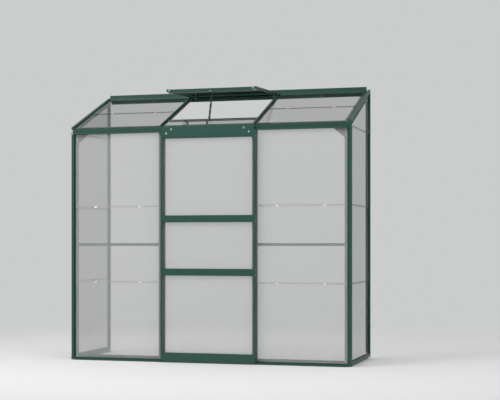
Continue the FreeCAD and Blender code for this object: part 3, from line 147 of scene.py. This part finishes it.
def at(x, back, height):
    """A place of the greenhouse in metres, from its X, depth and height in millimetres."""
    return Vector((x, back + POST_FACE, height)) / 1000


def on_roof(x, up, rise):
    """A place that lies up the roof's slope from the front, and rise over its glass seat."""
    back = up * math.cos(ROOF_PITCH) - rise * math.sin(ROOF_PITCH)
    return at(x, back, ROOF_SEAT + up * math.sin(ROOF_PITCH) + rise * math.cos(ROOF_PITCH))


def on_vent(x, ahead, rise):
    """A place on the vent as it stands open, ahead of its hinge line and rise over it."""
    back = HINGE_BACK - ahead * math.cos(VENT_PITCH) - rise * math.sin(VENT_PITCH)
    return at(x, back, HINGE_Z - ahead * math.sin(VENT_PITCH) + rise * math.cos(VENT_PITCH))


def linear(red, green, blue):
    """A screen colour of 0 to 255 as the linear colour that a shader takes."""
    shares = (value / 255 for value in (red, green, blue))
    return tuple(s / 12.92 if s <= 0.04045 else ((s + 0.055) / 1.055) ** 2.4 for s in shares)


# Settings

class CoatSettings(bpy.types.PropertyGroup):
    colour: FloatVectorProperty(
        name="Colour", description="Powder coat of the sections", subtype="COLOR", size=3,
        default=linear(33, 76, 66), min=0, max=1,
    )
    # Painted shade: the stay and its pegs get a darker copy of the coat for the vent's shadow over them.
    stay: FloatVectorProperty(
        name="Shaded stay colour", description="Darker coat of the vent's stay and pegs", subtype="COLOR", size=3,
        default=linear(18, 44, 37), min=0, max=1,
    )
    grain: FloatProperty(
        name="Grain", description="Width of one pip of the coat's fine texture", unit="LENGTH",
        default=0.0014, min=0.0002, max=0.01, precision=5,
    )
    edge: FloatProperty(
        name="Edge radius", description="Rounding of the extruded edges under the coat", unit="LENGTH",
        default=0.0005, min=0.0001, max=0.002, precision=5,
    )
    dust: FloatProperty(
        name="Dust", description="Dust on what faces up, and splashes near the ground", subtype="FACTOR",
        default=0.15, min=0, max=1,
    )


class GlassSettings(bpy.types.PropertyGroup):
    tint: FloatVectorProperty(
        name="Tint", description="Colour of the front and door glass", subtype="COLOR", size=3,
        default=(0.76, 0.765, 0.762), min=0, max=1,
    )
    edge_tint: FloatVectorProperty(
        name="Edge tint", description="Colour of the ground edges", subtype="COLOR", size=3,
        default=(0.62, 0.74, 0.69), min=0, max=1,
    )
    # Darker than the front glass: partly the glass's own tint, partly painted shade of the wall seen through
    # the roof.
    roof_tint_and_shade: FloatVectorProperty(
        name="Roof tint and shade", description="Colour of the roof, vent and gable glass", subtype="COLOR", size=3,
        default=(0.64, 0.64, 0.642), min=0, max=1,
    )
    # Painted reflection: a dark colour where the glass is seen at a slant stands in for the shaded wall plate
    # and wall it would reflect.
    slant_reflected_shade: FloatVectorProperty(
        name="Reflected shade", description="Colour of the glass seen almost along its sheet", subtype="COLOR",
        size=3, default=(0.05, 0.075, 0.065), min=0, max=1,
    )
    haze: FloatProperty(
        name="Haze", description="Share of the light that the film on the front and door glass scatters",
        subtype="FACTOR", default=0.19, min=0, max=1,
    )
    roof_haze: FloatProperty(
        name="Roof haze", description="The same share on the roof, vent and gable glass",
        subtype="FACTOR", default=0.01, min=0, max=1,
    )
    smears: FloatProperty(
        name="Smears", description="Streaks left by rain and cleaning", subtype="FACTOR",
        default=0.35, min=0, max=1,
    )


class MetalSettings(bpy.types.PropertyGroup):
    zinc: FloatVectorProperty(
        name="Zinc", description="Bright zinc of bolts and screws", subtype="COLOR", size=3,
        default=(0.82, 0.83, 0.84), min=0, max=1,
    )
    axle: FloatVectorProperty(
        name="Axle", description="Duller zinc of the wheels' axles", subtype="COLOR", size=3,
        default=(0.26, 0.31, 0.295), min=0, max=1,
    )
    spring: FloatVectorProperty(
        name="Spring steel", description="Stainless strip of the glass clips", subtype="COLOR", size=3,
        default=(0.97, 0.97, 0.96), min=0, max=1,
    )
    head_radius: FloatProperty(
        name="Head radius", description="Radius of a pan head screw", unit="LENGTH",
        default=0.0045, min=0.003, max=0.006, precision=4,
    )
    head_height: FloatProperty(
        name="Head height", description="Height of a pan head screw", unit="LENGTH",
        default=0.0026, min=0.001, max=0.004, precision=4,
    )
    segments: IntProperty(
        name="Segments", description="Sides of a round head", default=32, min=12, max=64,
    )


class PlasticSettings(bpy.types.PropertyGroup):
    nylon: FloatVectorProperty(
        name="Nylon", description="Colour of the wheels and guide blocks", subtype="COLOR", size=3,
        default=(0.022, 0.022, 0.023), min=0, max=1,
    )
    seal: FloatVectorProperty(
        name="Seal", description="Colour of the foam strip under the vent's front rail", subtype="COLOR",
        size=3, default=linear(84, 94, 91), min=0, max=1,
    )
    seal_height: FloatProperty(
        name="Seal height", description="Height of that strip while the vent is open", unit="LENGTH",
        default=0.0175, min=0.008, max=0.018, precision=4,
    )
    seal_width: FloatProperty(
        name="Seal width", description="Width of that strip", unit="LENGTH",
        default=0.006, min=0.003, max=0.01, precision=4,
    )


class StudioSettings(bpy.types.PropertyGroup):
    floor: FloatVectorProperty(
        name="Floor", description="Colour of the floor round the greenhouse", subtype="COLOR", size=3,
        default=(0.95, 0.95, 0.95), min=0, max=1,
    )
    backdrop: FloatVectorProperty(
        name="Backdrop", description="Colour behind the greenhouse", subtype="COLOR", size=3,
        default=linear(203, 205, 204), min=0, max=1,
    )
    sky: FloatProperty(
        name="Sky", description="Strength of the even light", default=0.55, min=0, max=2,
    )
    key: FloatProperty(
        name="Key lamp", description="Power of the large lamp", unit="POWER", default=200, min=0, max=2000,
    )
    fill: FloatProperty(
        name="Fill lamp", description="Power of the lamp on the other side", unit="POWER",
        default=70, min=0, max=2000,
    )


SETTINGS = {
    "greenhouse_coat": CoatSettings,
    "greenhouse_glass": GlassSettings,
    "greenhouse_metal": MetalSettings,
    "greenhouse_plastic": PlasticSettings,
    "greenhouse_studio": StudioSettings,
}


# Shader trees

class Tree:
    """Short calls that lay out a node tree."""

    def __init__(self, tree):
        self.tree = tree

    def add(self, kind, inputs=(), **settings):
        node = self.tree.nodes.new(kind)
        for name, value in settings.items():
            setattr(node, name, value)
        for name, value in dict(inputs).items():
            self.feed(node.inputs[name], value)
        return node

    def feed(self, socket, value):
        if isinstance(value, bpy.types.NodeSocket):
            self.tree.links.new(value, socket)
        elif socket.type == "RGBA" and len(value) == 3:
            socket.default_value = (*value, 1)
        else:
            socket.default_value = value

    def math(self, operation, first, second):
        return self.add("ShaderNodeMath", {0: first, 1: second}, operation=operation).outputs[0]

    def dot(self, first, second):
        node = self.add("ShaderNodeVectorMath", {0: first, 1: second}, operation="DOT_PRODUCT")
        return node.outputs["Value"]

    def noise(self, place, scale, detail, stretch=None):
        if stretch is not None:
            stretched = self.add("ShaderNodeVectorMath", {0: place, 1: stretch}, operation="MULTIPLY")
            place = stretched.outputs["Vector"]
        node = self.add("ShaderNodeTexNoise", {"Vector": place, "Scale": scale, "Detail": detail})
        return node.outputs["Fac"]

    def spread(self, value, low, high, start=0.0, end=1.0):
        """Map a value from low to high onto start to end, smoothly and clamped."""
        node = self.add("ShaderNodeMapRange", {
            "Value": value, "From Min": low, "From Max": high, "To Min": start, "To Max": end,
        }, interpolation_type="SMOOTHSTEP")
        return node.outputs["Result"]

    def mix(self, share, first, second):
        node = self.add("ShaderNodeMix", data_type="RGBA")
        sockets = {socket.identifier: socket for socket in (*node.inputs, *node.outputs)}
        self.feed(sockets["Factor_Float"], share)
        self.feed(sockets["A_Color"], first)
        self.feed(sockets["B_Color"], second)
        return sockets["Result_Color"]


SOCKETS = {"colour": "NodeSocketColor", "value": "NodeSocketFloat", "vector": "NodeSocketVector"}
FINISH_OUTPUTS = {"Colour": "colour", "Roughness": "value", "Height": "value"}


def finish_group(name, lay_out, inputs):
    """A finish as a node group: lay_out links its inputs to a colour, a roughness and a height."""
    if name in bpy.data.node_groups:
        return bpy.data.node_groups[name]
    group = bpy.data.node_groups.new(name, "ShaderNodeTree")
    for names, way in ((inputs, "INPUT"), (FINISH_OUTPUTS, "OUTPUT")):
        for socket, kind in names.items():
            group.interface.new_socket(socket, in_out=way, socket_type=SOCKETS[kind])
    tree = Tree(group)
    given = tree.add("NodeGroupInput").outputs
    place = tree.add("ShaderNodeTexCoord").outputs
    results = lay_out(tree, given, place["Object"], place["Normal"])
    tree.add("NodeGroupOutput", dict(zip(FINISH_OUTPUTS, results)))
    return group


def finished(name, group, values, relief, plain=()):
    """A material with a finish group's colour, roughness and relief, and plain values on its shader."""
    material = bpy.data.materials.new(name)
    material.use_nodes = True
    tree = Tree(material.node_tree)
    shader = material.node_tree.nodes["Principled BSDF"]
    finish = tree.add("ShaderNodeGroup", values, node_tree=group).outputs
    bump = tree.add("ShaderNodeBump", {"Height": finish["Height"], "Distance": relief})
    tree.feed(shader.inputs["Base Color"], finish["Colour"])
    tree.feed(shader.inputs["Roughness"], finish["Roughness"])
    tree.feed(shader.inputs["Normal"], bump.outputs["Normal"])
    for socket, value in dict(plain).items():
        tree.feed(shader.inputs[socket], value)
    return material, tree, shader


def powder_coat(tree, given, place, normal):
    """Fine orange peel, faint cloudy shade, dust on upward faces and splashes near the ground."""
    # The lighter edge colour is partly coat worn thin and partly a painted highlight on the rounded edges.
    shade, worn_and_highlight, dirt = (0.03, 0.05, 0.04), (0.16, 0.23, 0.2), (0.3, 0.3, 0.27)
    splash_height, wear_and_highlight_reach = 0.16, 0.0014
    grain = tree.noise(place, tree.math("DIVIDE", 1.0, given["Grain"]), 1.0)
    cloud = tree.noise(place, 7.0, 3.0)
    fleck = tree.noise(place, 260.0, 1.0)
    parts = tree.add("ShaderNodeSeparateXYZ", {0: place}).outputs
    facing = tree.add("ShaderNodeSeparateXYZ", {0: normal}).outputs
    lying = tree.math("MULTIPLY", tree.spread(facing["Z"], 0.5, 0.95), tree.spread(cloud, 0.3, 0.7))
    low = tree.spread(parts["Z"], splash_height, 0.0)
    splash = tree.math("MULTIPLY", low, tree.spread(fleck, 0.5, 0.66))
    dust = tree.math("MULTIPLY", tree.math("MAXIMUM", lying, splash), given["Dust"])
    rounded = tree.add("ShaderNodeBevel", {"Radius": wear_and_highlight_reach}, samples=4).outputs["Normal"]
    true = tree.add("ShaderNodeNewGeometry").outputs["Normal"]
    edge = tree.spread(tree.dot(rounded, true), 0.995, 0.86)
    colour = tree.mix(tree.spread(cloud, 0.3, 0.7, 0.0, 0.16), given["Colour"], shade)
    # Lighten the edges: partly wear, partly a painted highlight where they would catch the light.
    colour = tree.mix(tree.math("MULTIPLY", edge, 0.28), colour, worn_and_highlight)
    colour = tree.mix(dust, colour, dirt)
    clean = tree.spread(cloud, 0.3, 0.7, 0.36, 0.46)
    roughness = tree.math("ADD", clean, tree.math("MULTIPLY", dust, 0.5))
    return colour, roughness, grain


def pane_finish(tree, given, place, normal):
    """Clear glass with ground edges, streaks of dried rain and a faint draw of the sheet."""
    lime = (0.8, 0.82, 0.8)
    facing = tree.math("ABSOLUTE", tree.dot(normal, given["Facing"]), 0.0)
    edge = tree.spread(facing, 0.8, 0.5)
    streak = tree.noise(place, 24.0, 2.0, (1, 1, 0.07))
    film = tree.math("MULTIPLY", tree.spread(streak, 0.45, 0.75), given["Smears"])
    colour = tree.mix(tree.math("MULTIPLY", film, 0.12), given["Tint"], lime)
    colour = tree.mix(edge, colour, given["Edge tint"])
    roughness = tree.math("MAXIMUM", tree.math("MULTIPLY", film, 0.04), tree.math("MULTIPLY", edge, 0.4))
    draw = tree.noise(place, 3.0, 0.0, (1, 1, 0.4))
    return colour, roughness, draw


def worked_metal(tree, given, place, normal):
    """Plated or rolled metal: fine scratches along one way, faint blotches, duller in the hollows."""
    stain = (0.5, 0.5, 0.48)
    blotch = tree.noise(place, 380.0, 3.0)
    scratch = tree.noise(place, 2200.0, 2.0, (1, 1, 0.08))
    colour = tree.mix(tree.spread(blotch, 0.35, 0.7, 0.0, 0.35), given["Colour"], stain)
    roughness = tree.math("ADD", given["Dullness"], tree.spread(scratch, 0.3, 0.7, 0.0, 0.16))
    return colour, roughness, scratch


def moulded_plastic(tree, given, place, normal):
    """Moulded or foamed plastic: fine pores, and a scuffed lighter bloom."""
    scuffed = (0.25, 0.25, 0.25)
    pores = tree.noise(place, tree.math("DIVIDE", 1.0, given["Grain"]), 3.0)
    bloom = tree.noise(place, 60.0, 3.0)
    colour = tree.mix(tree.spread(bloom, 0.5, 0.75, 0.0, 0.2), given["Colour"], scuffed)
    roughness = tree.spread(pores, 0.2, 0.8, 0.45, 0.75)
    return colour, roughness, pores


COAT_INPUTS = {"Colour": "colour", "Grain": "value", "Dust": "value"}
PANE_INPUTS = {"Tint": "colour", "Edge tint": "colour", "Smears": "value", "Facing": "vector"}
METAL_INPUTS = {"Colour": "colour", "Dullness": "value"}
PLASTIC_INPUTS = {"Colour": "colour", "Grain": "value"}


def coated(name, colour, grain, dust):
    group = finish_group("Powder coat", powder_coat, COAT_INPUTS)
    values = {"Colour": colour, "Grain": grain, "Dust": dust}
    return finished(name, group, values, COAT_RELIEF, {"Specular IOR Level": COAT_SHINE})[0]


def metal(name, colour, dullness):
    group = finish_group("Worked metal", worked_metal, METAL_INPUTS)
    values = {"Colour": colour, "Dullness": dullness}
    return finished(name, group, values, METAL_RELIEF, {"Metallic": 1.0})[0]


def plastic(name, colour, grain, relief):
    group = finish_group("Moulded plastic", moulded_plastic, PLASTIC_INPUTS)
    return finished(name, group, {"Colour": colour, "Grain": grain}, relief)[0]


# Pieces

def dress(name, material):
    """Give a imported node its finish."""
    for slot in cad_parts[name].material_slots:
        slot.material = material


def round_edges(piece, radius, segments=2, angle=30):
    """Round a piece's edges, by a modifier, where its faces turn by more than an angle in degrees."""
    bevel = piece.modifiers.new("Rounded edges", "BEVEL")
    bevel.width = radius
    bevel.segments = segments
    bevel.limit_method = "ANGLE"
    bevel.angle_limit = math.radians(angle)
    bevel.harden_normals = True


def round_node(name, radius, segments=2):
    """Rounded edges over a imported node's own mesh, which stays as it is."""
    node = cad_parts[name]
    weld = node.modifiers.new("Weld", "WELD")
    weld.merge_threshold = 0.00001
    flat = node.modifiers.new("Flat faces", "DECIMATE")
    flat.decimate_type = "DISSOLVE"
    flat.angle_limit = math.radians(0.5)
    round_edges(node, radius, segments, angle=38)


def turned(profile, segments):
    """A turned solid about Z from (radius, height) pairs, lowest first."""
    form = bmesh.new()
    rings = []
    for radius, height in profile:
        turns = (math.tau * step / segments for step in range(segments))
        rings.append([form.verts.new((radius * math.cos(a), radius * math.sin(a), height)) for a in turns])
    form.faces.new(reversed(rings[0]))
    form.faces.new(rings[-1])
    for low, high in zip(rings, rings[1:]):
        for side in range(segments):
            after = (side + 1) % segments
            form.faces.new((low[side], low[after], high[after], high[side])).smooth = True
    return form


def add_strip(form, section, start, end):
    """Add a strip along X to a form, from a section of points (Y, Z) and its ends in millimetres."""
    ends = [[form.verts.new((x / 1000, *point)) for point in section] for x in (start, end)]
    form.faces.new(ends[0])
    form.faces.new(reversed(ends[1]))
    for side in range(len(section)):
        after = (side + 1) % len(section)
        form.faces.new((ends[0][side], ends[1][side], ends[1][after], ends[0][after]))
    bmesh.ops.recalc_face_normals(form, faces=form.faces)


def add_block(form, low, high):
    """Add a block between two corners to a form."""
    made = bmesh.ops.create_cube(form, size=1)["verts"]
    size = Vector(high) - Vector(low)
    middle = (Vector(high) + Vector(low)) / 2
    place = Matrix.Translation(middle) @ Matrix.Diagonal((*size, 1))
    bmesh.ops.transform(form, matrix=place, verts=made)


def both_sides(*blocks):
    """A form of blocks of the right side, with their mirror images on the left."""
    form = bmesh.new()
    for side in (-1, 1):
        for across, back, height in blocks:
            left, right = sorted(side * x for x in across)
            add_block(form, at(left, back[0], height[0]), at(right, back[1], height[1]))
    return form


def cut(form, tool):
    """The form with the tool's volume cut out of it."""
    shapes = []
    for shape in (form, tool):
        mesh = bpy.data.meshes.new("shape")
        shape.to_mesh(mesh)
        shape.free()
        shapes.append(bpy.data.objects.new("shape", mesh))
        bpy.context.scene.collection.objects.link(shapes[-1])
    boolean = shapes[0].modifiers.new("Cut", "BOOLEAN")
    boolean.object = shapes[1]
    boolean.solver = "EXACT"
    result = bmesh.new()
    result.from_object(shapes[0], bpy.context.evaluated_depsgraph_get())
    for shape in shapes:
        mesh = shape.data
        bpy.data.objects.remove(shape)
        bpy.data.meshes.remove(mesh)
    return result


def cross_head(settings):
    """A domed screw head on the ground plane, with its cross recess."""
    radius, height = settings.head_radius, settings.head_height
    dome = [(radius * math.cos(a), height * (0.35 + 0.65 * math.sin(a))) for a in (0.2, 0.5, 0.8, 1.1, 1.35)]
    form = turned([(radius * 0.97, 0), (radius, height * 0.12), *dome], settings.segments)
    arm, half, floor, clear = radius * 0.58, radius * 0.13, height * 0.4, height * 2
    for x, y in ((arm, half), (half, arm)):
        recess = bmesh.new()
        add_block(recess, (-x, -y, floor), (x, y, clear))
        form = cut(form, recess)
    return form


def repeated(form, places):
    """Copies of a form, one for each (place, way out)."""
    mesh = bpy.data.meshes.new("form")
    form.to_mesh(mesh)
    form.free()
    result = bmesh.new()
    for place, way in places:
        first = len(result.verts)
        result.from_mesh(mesh)
        result.verts.ensure_lookup_table()
        turn = Vector(way).to_track_quat("Z", "Y").to_matrix().to_4x4()
        bmesh.ops.transform(result, matrix=Matrix.Translation(place) @ turn, verts=result.verts[first:])
    bpy.data.meshes.remove(mesh)
    return result


def add_piece(name, form, body, material):
    """Turn a bmesh into a piece of the model that rides on a body."""
    mesh = bpy.data.meshes.new(name)
    form.to_mesh(mesh)
    form.free()
    mesh.materials.append(material)
    piece = bpy.data.objects.new(name, mesh)
    bpy.context.scene.collection.objects.link(piece)
    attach(piece, body)
    return piece


def add_coated(name, form, slot, rounding):
    """Turn a bmesh into a coated piece of the frame with rounded edges."""
    piece = add_piece(name, form, "frame", bpy.data.materials[slot + "_coat"])
    round_edges(piece, rounding)


# Operators

class CoatSections(bpy.types.Operator):
    """Coat the green sections and round their edges"""
    bl_idname = "greenhouse.coat_sections"
    bl_label = "Coat the sections"

    def execute(self, context):
        coat = context.scene.greenhouse_coat
        green = coated("frame_green_coat", coat.colour, coat.grain, coat.dust)
        # A darker copy of the coat, painted shade of the vent, for the stay and its pegs.
        stay = coated("stay_green_coat", coat.stay, coat.grain, 0.0)
        for name in GREEN_NODES:
            dress(name, stay if name in STAY_NODES else green)
            round_node(name, coat.edge)
        return {"FINISHED"}


class GlazePanes(bpy.types.Operator):
    """Give every pane its clear glass with ground edges"""
    bl_idname = "greenhouse.glaze_panes"
    bl_label = "Glaze the panes"

    def execute(self, context):
        glass = context.scene.greenhouse_glass
        group = finish_group("Pane finish", pane_finish, PANE_INPUTS)
        for start, (facing, ior, film) in PANES.items():
            # The roof, vent and gable glass take the darker tint with its painted shade.
            tint, haze = (glass.tint, glass.haze) if film else (glass.roof_tint_and_shade, glass.roof_haze)
            values = {"Tint": tint, "Edge tint": glass.edge_tint, "Smears": glass.smears, "Facing": facing}
            plain = {"IOR": ior, "Transmission Weight": 1 - haze}
            name = start.strip("_") + "_glass"
            material, tree, shader = finished(name, group, values, PANE_RELIEF, plain)
            self.lighten_shadow(tree, shader)
            self.paint_reflected_shade(tree, shader, glass.slant_reflected_shade)
            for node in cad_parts:
                if node.startswith(start) and "pane" in node:
                    dress(node, material)
                    round_node(node, PANE_ROUNDING, 1)
        return {"FINISHED"}

    def lighten_shadow(self, tree, shader):
        """Let most of the light through to what stands behind the glass."""
        shadow = tree.add("ShaderNodeLightPath").outputs["Is Shadow Ray"]
        lightened = tree.math("MULTIPLY", shadow, 1 - PANE_SHADOW)
        tree.feed(shader.inputs["Alpha"], tree.math("SUBTRACT", 1.0, lightened))

    def paint_reflected_shade(self, tree, shader, slant_reflected_shade):
        """Paint a dark reflection of shade where the sheet is seen almost along itself."""
        slant = tree.add("ShaderNodeLayerWeight", {"Blend": 0.5}).outputs["Facing"]
        clear = shader.inputs["Base Color"].links[0].from_socket
        tree.feed(shader.inputs["Base Color"], tree.mix(tree.spread(slant, *PANE_SLANT), clear, slant_reflected_shade))


class FinishFixings(bpy.types.Operator):
    """Give the bolts, screws, axles and glass clips their metal"""
    bl_idname = "greenhouse.finish_fixings"
    bl_label = "Finish the fixings"

    def execute(self, context):
        settings = context.scene.greenhouse_metal
        zinc = metal("zinc_plate", settings.zinc, BRIGHT_METAL)
        for name in ZINC_NODES:
            dress(name, zinc)
        dress("wheel_axles", metal("dull_zinc", settings.axle, DULL_METAL))
        dress("lap_clips", metal("spring_strip", settings.spring, DULL_METAL))
        return {"FINISHED"}


class FinishNylon(bpy.types.Operator):
    """Give the door's wheels and guide blocks their black nylon"""
    bl_idname = "greenhouse.finish_nylon"
    bl_label = "Finish the nylon"

    def execute(self, context):
        nylon = plastic("black_nylon", context.scene.greenhouse_plastic.nylon, NYLON_GRAIN, NYLON_RELIEF)
        for name in NYLON_NODES:
            dress(name, nylon)
        return {"FINISHED"}


class CapEaveCorners(bpy.types.Operator):
    """Cap the corner posts and close the ends of the eave beam and the gable rafters"""
    bl_idname = "greenhouse.cap_eave_corners"
    bl_label = "Cap the eave corners"

    def execute(self, context):
        form = both_sides(CORNER_CAP, EAVE_TAB, RAFTER_PLUG)
        add_coated("eave_corner_caps", form, "frame_green", SMALL_ROUNDING)
        return {"FINISHED"}


class LipWallPosts(bpy.types.Operator):
    """Turn a stiffening lip inwards along the front edge of both wall posts' glass seat"""
    bl_idname = "greenhouse.lip_wall_posts"
    bl_label = "Lip the wall posts"

    def execute(self, context):
        add_coated("wall_post_lips", both_sides(POST_LIP), "frame_green", SMALL_ROUNDING)
        return {"FINISHED"}


class BedRoofGlass(bpy.types.Operator):
    """Press a bead into the corner between the roof glass and the wall plate, in both side bays"""
    bl_idname = "greenhouse.bed_roof_glass"
    bl_label = "Bed the roof glass"

    def execute(self, context):
        up = FASCIA_BACK / math.cos(ROOF_PITCH)
        over = GLASS_GAP + GLASS
        foot = on_roof(0, up + over * math.tan(ROOF_PITCH), over)
        y, z = foot.y - BEAD_BITE, foot.z + BEAD_BITE
        toe = (y - BEAD_REACH * math.cos(ROOF_PITCH), z - BEAD_REACH * math.sin(ROOF_PITCH))
        hollow = (y - BEAD_REACH * 0.28, z + BEAD_RISE * 0.26)
        form = bmesh.new()
        for start, end in BEAD_RUNS:
            add_strip(form, [(y, z), toe, hollow, (y, z + BEAD_RISE)], start, end)
        add_coated("ridge_beads", form, "frame_green", SMALL_ROUNDING)
        return {"FINISHED"}


class HangPegPlates(bpy.types.Operator):
    """Hang the small plates that the stay's pegs are riveted to under the vent sill"""
    bl_idname = "greenhouse.hang_peg_plates"
    bl_label = "Hang the peg plates"

    def execute(self, context):
        form = bmesh.new()
        low, high = zip(PEG_PLATE_BACK, PEG_PLATE_HEIGHT)
        for x in PEG_PLATE_MIDDLES:
            add_block(form, at(x - PEG_PLATE_HALF, *low), at(x + PEG_PLATE_HALF, *high))
        # The peg plates take the same coat with painted shade.
        add_coated("peg_plates", form, "stay_green", PLATE_ROUNDING)
        return {"FINISHED"}


class DriveScrews(bpy.types.Operator):
    """Drive the cross head screws of the posts, the vent and the hinge"""
    bl_idname = "greenhouse.drive_screws"
    bl_label = "Drive the screws"

    def execute(self, context):
        settings = context.scene.greenhouse_metal
        zinc = bpy.data.materials["zinc_plate"]
        ahead, vent_ahead = (0, -1, 0), on_vent(0, 1, 0) - on_vent(0, 0, 0)
        in_post = [(at(*POST_SCREW_PLACE), ahead)]
        in_fascia = [(at(x, FASCIA_BACK, FASCIA_SCREW_Z), ahead) for x in FASCIA_SCREW_X]
        in_rail = [(on_vent(x, VENT_LENGTH, VENT_SCREW_RISE), vent_ahead) for x in VENT_SCREW_X]
        for name, places, body in (
            ("post_screws", in_post, "frame"),
            ("hinge_stop_screws", in_fascia, "frame"),
            ("vent_corner_screws", in_rail, "vent"),
        ):
            add_piece(name, repeated(cross_head(settings), places), body, zinc)
        return {"FINISHED"}


class SealVent(bpy.types.Operator):
    """Stick the foam strip under the glass shelf of the vent's front rail, as it stands with the vent open"""
    bl_idname = "greenhouse.seal_vent"
    bl_label = "Seal the vent"

    def execute(self, context):
        settings = context.scene.greenhouse_plastic
        foam = plastic("seal_foam", settings.seal, FOAM_GRAIN, FOAM_RELIEF)
        high, half = settings.seal_height * 1000, settings.seal_width * 1000 / 2
        section = [(SEAL_AHEAD + half, SEAL_TOP)]
        for step in range(SEAL_ROUND + 1):
            turn = math.pi * step / SEAL_ROUND
            section.append((
                SEAL_AHEAD + half * math.cos(turn), SEAL_TOP - high + half * (1 - math.sin(turn)),
            ))
        section.append((SEAL_AHEAD - half, SEAL_TOP))
        points = [on_vent(0, ahead, rise).yz for ahead, rise in section]
        form = bmesh.new()
        for start, end in SEAL_RUNS:
            add_strip(form, points, start, end)
        seal = add_piece("vent_seal", form, "vent", foam)
        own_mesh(seal)
        return {"FINISHED"}


class SetStudio(bpy.types.Operator):
    """Set the floor, the backdrop, the lamps and the camera"""
    bl_idname = "greenhouse.set_studio"
    bl_label = "Set the studio"

    def execute(self, context):
        settings = context.scene.greenhouse_studio
        self.lay_floor(context.scene, settings)
        self.hang_backdrop(context.scene, settings)
        self.place_lamp(context.scene, "key_lamp", settings.key, KEY_LAMP_PLACE, KEY_LAMP_SIZE)
        self.place_lamp(context.scene, "fill_lamp", settings.fill, FILL_LAMP_PLACE, FILL_LAMP_SIZE)
        self.place_camera(context.scene)
        context.scene.view_settings.view_transform = "Standard"
        return {"FINISHED"}

    def seen(self, tree):
        """1 for the rays that show a backdrop: from the camera, in a gloss or through glass."""
        rays = tree.add("ShaderNodeLightPath").outputs
        gloss = tree.math("MAXIMUM", rays["Is Glossy Ray"], rays["Is Transmission Ray"])
        return tree.math("MAXIMUM", rays["Is Camera Ray"], gloss)

    def lay_floor(self, scene, settings):
        form = bmesh.new()
        bmesh.ops.create_circle(form, cap_ends=True, radius=FLOOR_RADIUS, segments=FLOOR_SIDES)
        mesh = bpy.data.meshes.new("floor")
        form.to_mesh(mesh)
        form.free()
        floor = bpy.data.objects.new("floor", mesh)
        floor.location.z = -FLOOR_DROP
        scene.collection.objects.link(floor)
        material = bpy.data.materials.new("floor_paint")
        material.use_nodes = True
        tree = Tree(material.node_tree)
        nodes = material.node_tree.nodes
        shader = nodes["Principled BSDF"]
        tree.feed(shader.inputs["Base Color"], settings.floor)
        tree.feed(shader.inputs["Roughness"], 0.9)
        tree.feed(shader.inputs["Specular IOR Level"], 0.2)
        place = tree.add("ShaderNodeTexCoord").outputs["Object"]
        reach = tree.add("ShaderNodeVectorMath", {0: place}, operation="LENGTH").outputs["Value"]
        fade = tree.math("MULTIPLY", tree.spread(reach, *FLOOR_FADE), self.seen(tree))
        glow = tree.add("ShaderNodeEmission", {"Color": settings.backdrop, "Strength": 1.0})
        blend = tree.add("ShaderNodeMixShader", {0: fade, 1: shader.outputs[0], 2: glow.outputs[0]})
        tree.feed(nodes["Material Output"].inputs["Surface"], blend.outputs[0])
        mesh.materials.append(material)

    def hang_backdrop(self, scene, settings):
        world = bpy.data.worlds.new("studio_light")
        world.use_nodes = True
        scene.world = world
        tree = Tree(world.node_tree)
        nodes = world.node_tree.nodes
        even = nodes["Background"]
        tree.feed(even.inputs["Color"], (1.0, 1.0, 1.0))
        tree.feed(even.inputs["Strength"], settings.sky)
        back = tree.add("ShaderNodeBackground", {"Color": settings.backdrop, "Strength": 1.0})
        blend = tree.add("ShaderNodeMixShader", {0: self.seen(tree), 1: even.outputs[0], 2: back.outputs[0]})
        tree.feed(nodes["World Output"].inputs["Surface"], blend.outputs[0])

    def place_lamp(self, scene, name, power, place, size):
        light = bpy.data.lights.new(name, "AREA")
        light.energy = power
        light.size = size
        lamp = bpy.data.objects.new(name, light)
        lamp.location = place
        lamp.rotation_euler = (Vector(LAMP_AIM) - Vector(place)).to_track_quat("-Z", "Y").to_euler()
        scene.collection.objects.link(lamp)

    def place_camera(self, scene):
        lens = bpy.data.cameras.new("camera")
        lens.sensor_width = SENSOR_WIDTH
        lens.lens = FOCAL_LENGTH
        lens.shift_y = CAMERA_RISE
        lens.clip_end = VIEW_END
        camera = bpy.data.objects.new("camera", lens)
        camera.location = CAMERA_PLACE
        camera.rotation_euler = (math.radians(90), 0, CAMERA_TURN)
        scene.collection.objects.link(camera)
        scene.camera = camera


STEPS = (
    CoatSections, GlazePanes, FinishFixings, FinishNylon, CapEaveCorners, LipWallPosts, BedRoofGlass,
    HangPegPlates, DriveScrews, SealVent, SetStudio,
)


class GreenhousePanel(bpy.types.Panel):
    """Settings of the greenhouse and the steps that make it"""
    bl_idname = "VIEW3D_PT_greenhouse"
    bl_label = "Lean-to greenhouse"
    bl_space_type = "VIEW_3D"
    bl_region_type = "UI"
    bl_category = "Greenhouse"

    def draw(self, context):
        for name, kind in SETTINGS.items():
            box = self.layout.box()
            for setting in kind.__annotations__:
                box.prop(getattr(context.scene, name), setting)
        for step in STEPS:
            self.layout.operator(step.bl_idname)


def register():
    for name, kind in SETTINGS.items():
        bpy.utils.register_class(kind)
        setattr(bpy.types.Scene, name, PointerProperty(type=kind))
    for kind in (*STEPS, GreenhousePanel):
        bpy.utils.register_class(kind)


def unregister():
    for kind in reversed((*STEPS, GreenhousePanel)):
        bpy.utils.unregister_class(kind)
    for name, kind in reversed(SETTINGS.items()):
        delattr(bpy.types.Scene, name)
        bpy.utils.unregister_class(kind)


def main():
    register()
    for step in STEPS:
        group, call = step.bl_idname.split(".")
        getattr(getattr(bpy.ops, group), call)()


if __name__ == "__main__":
    main()
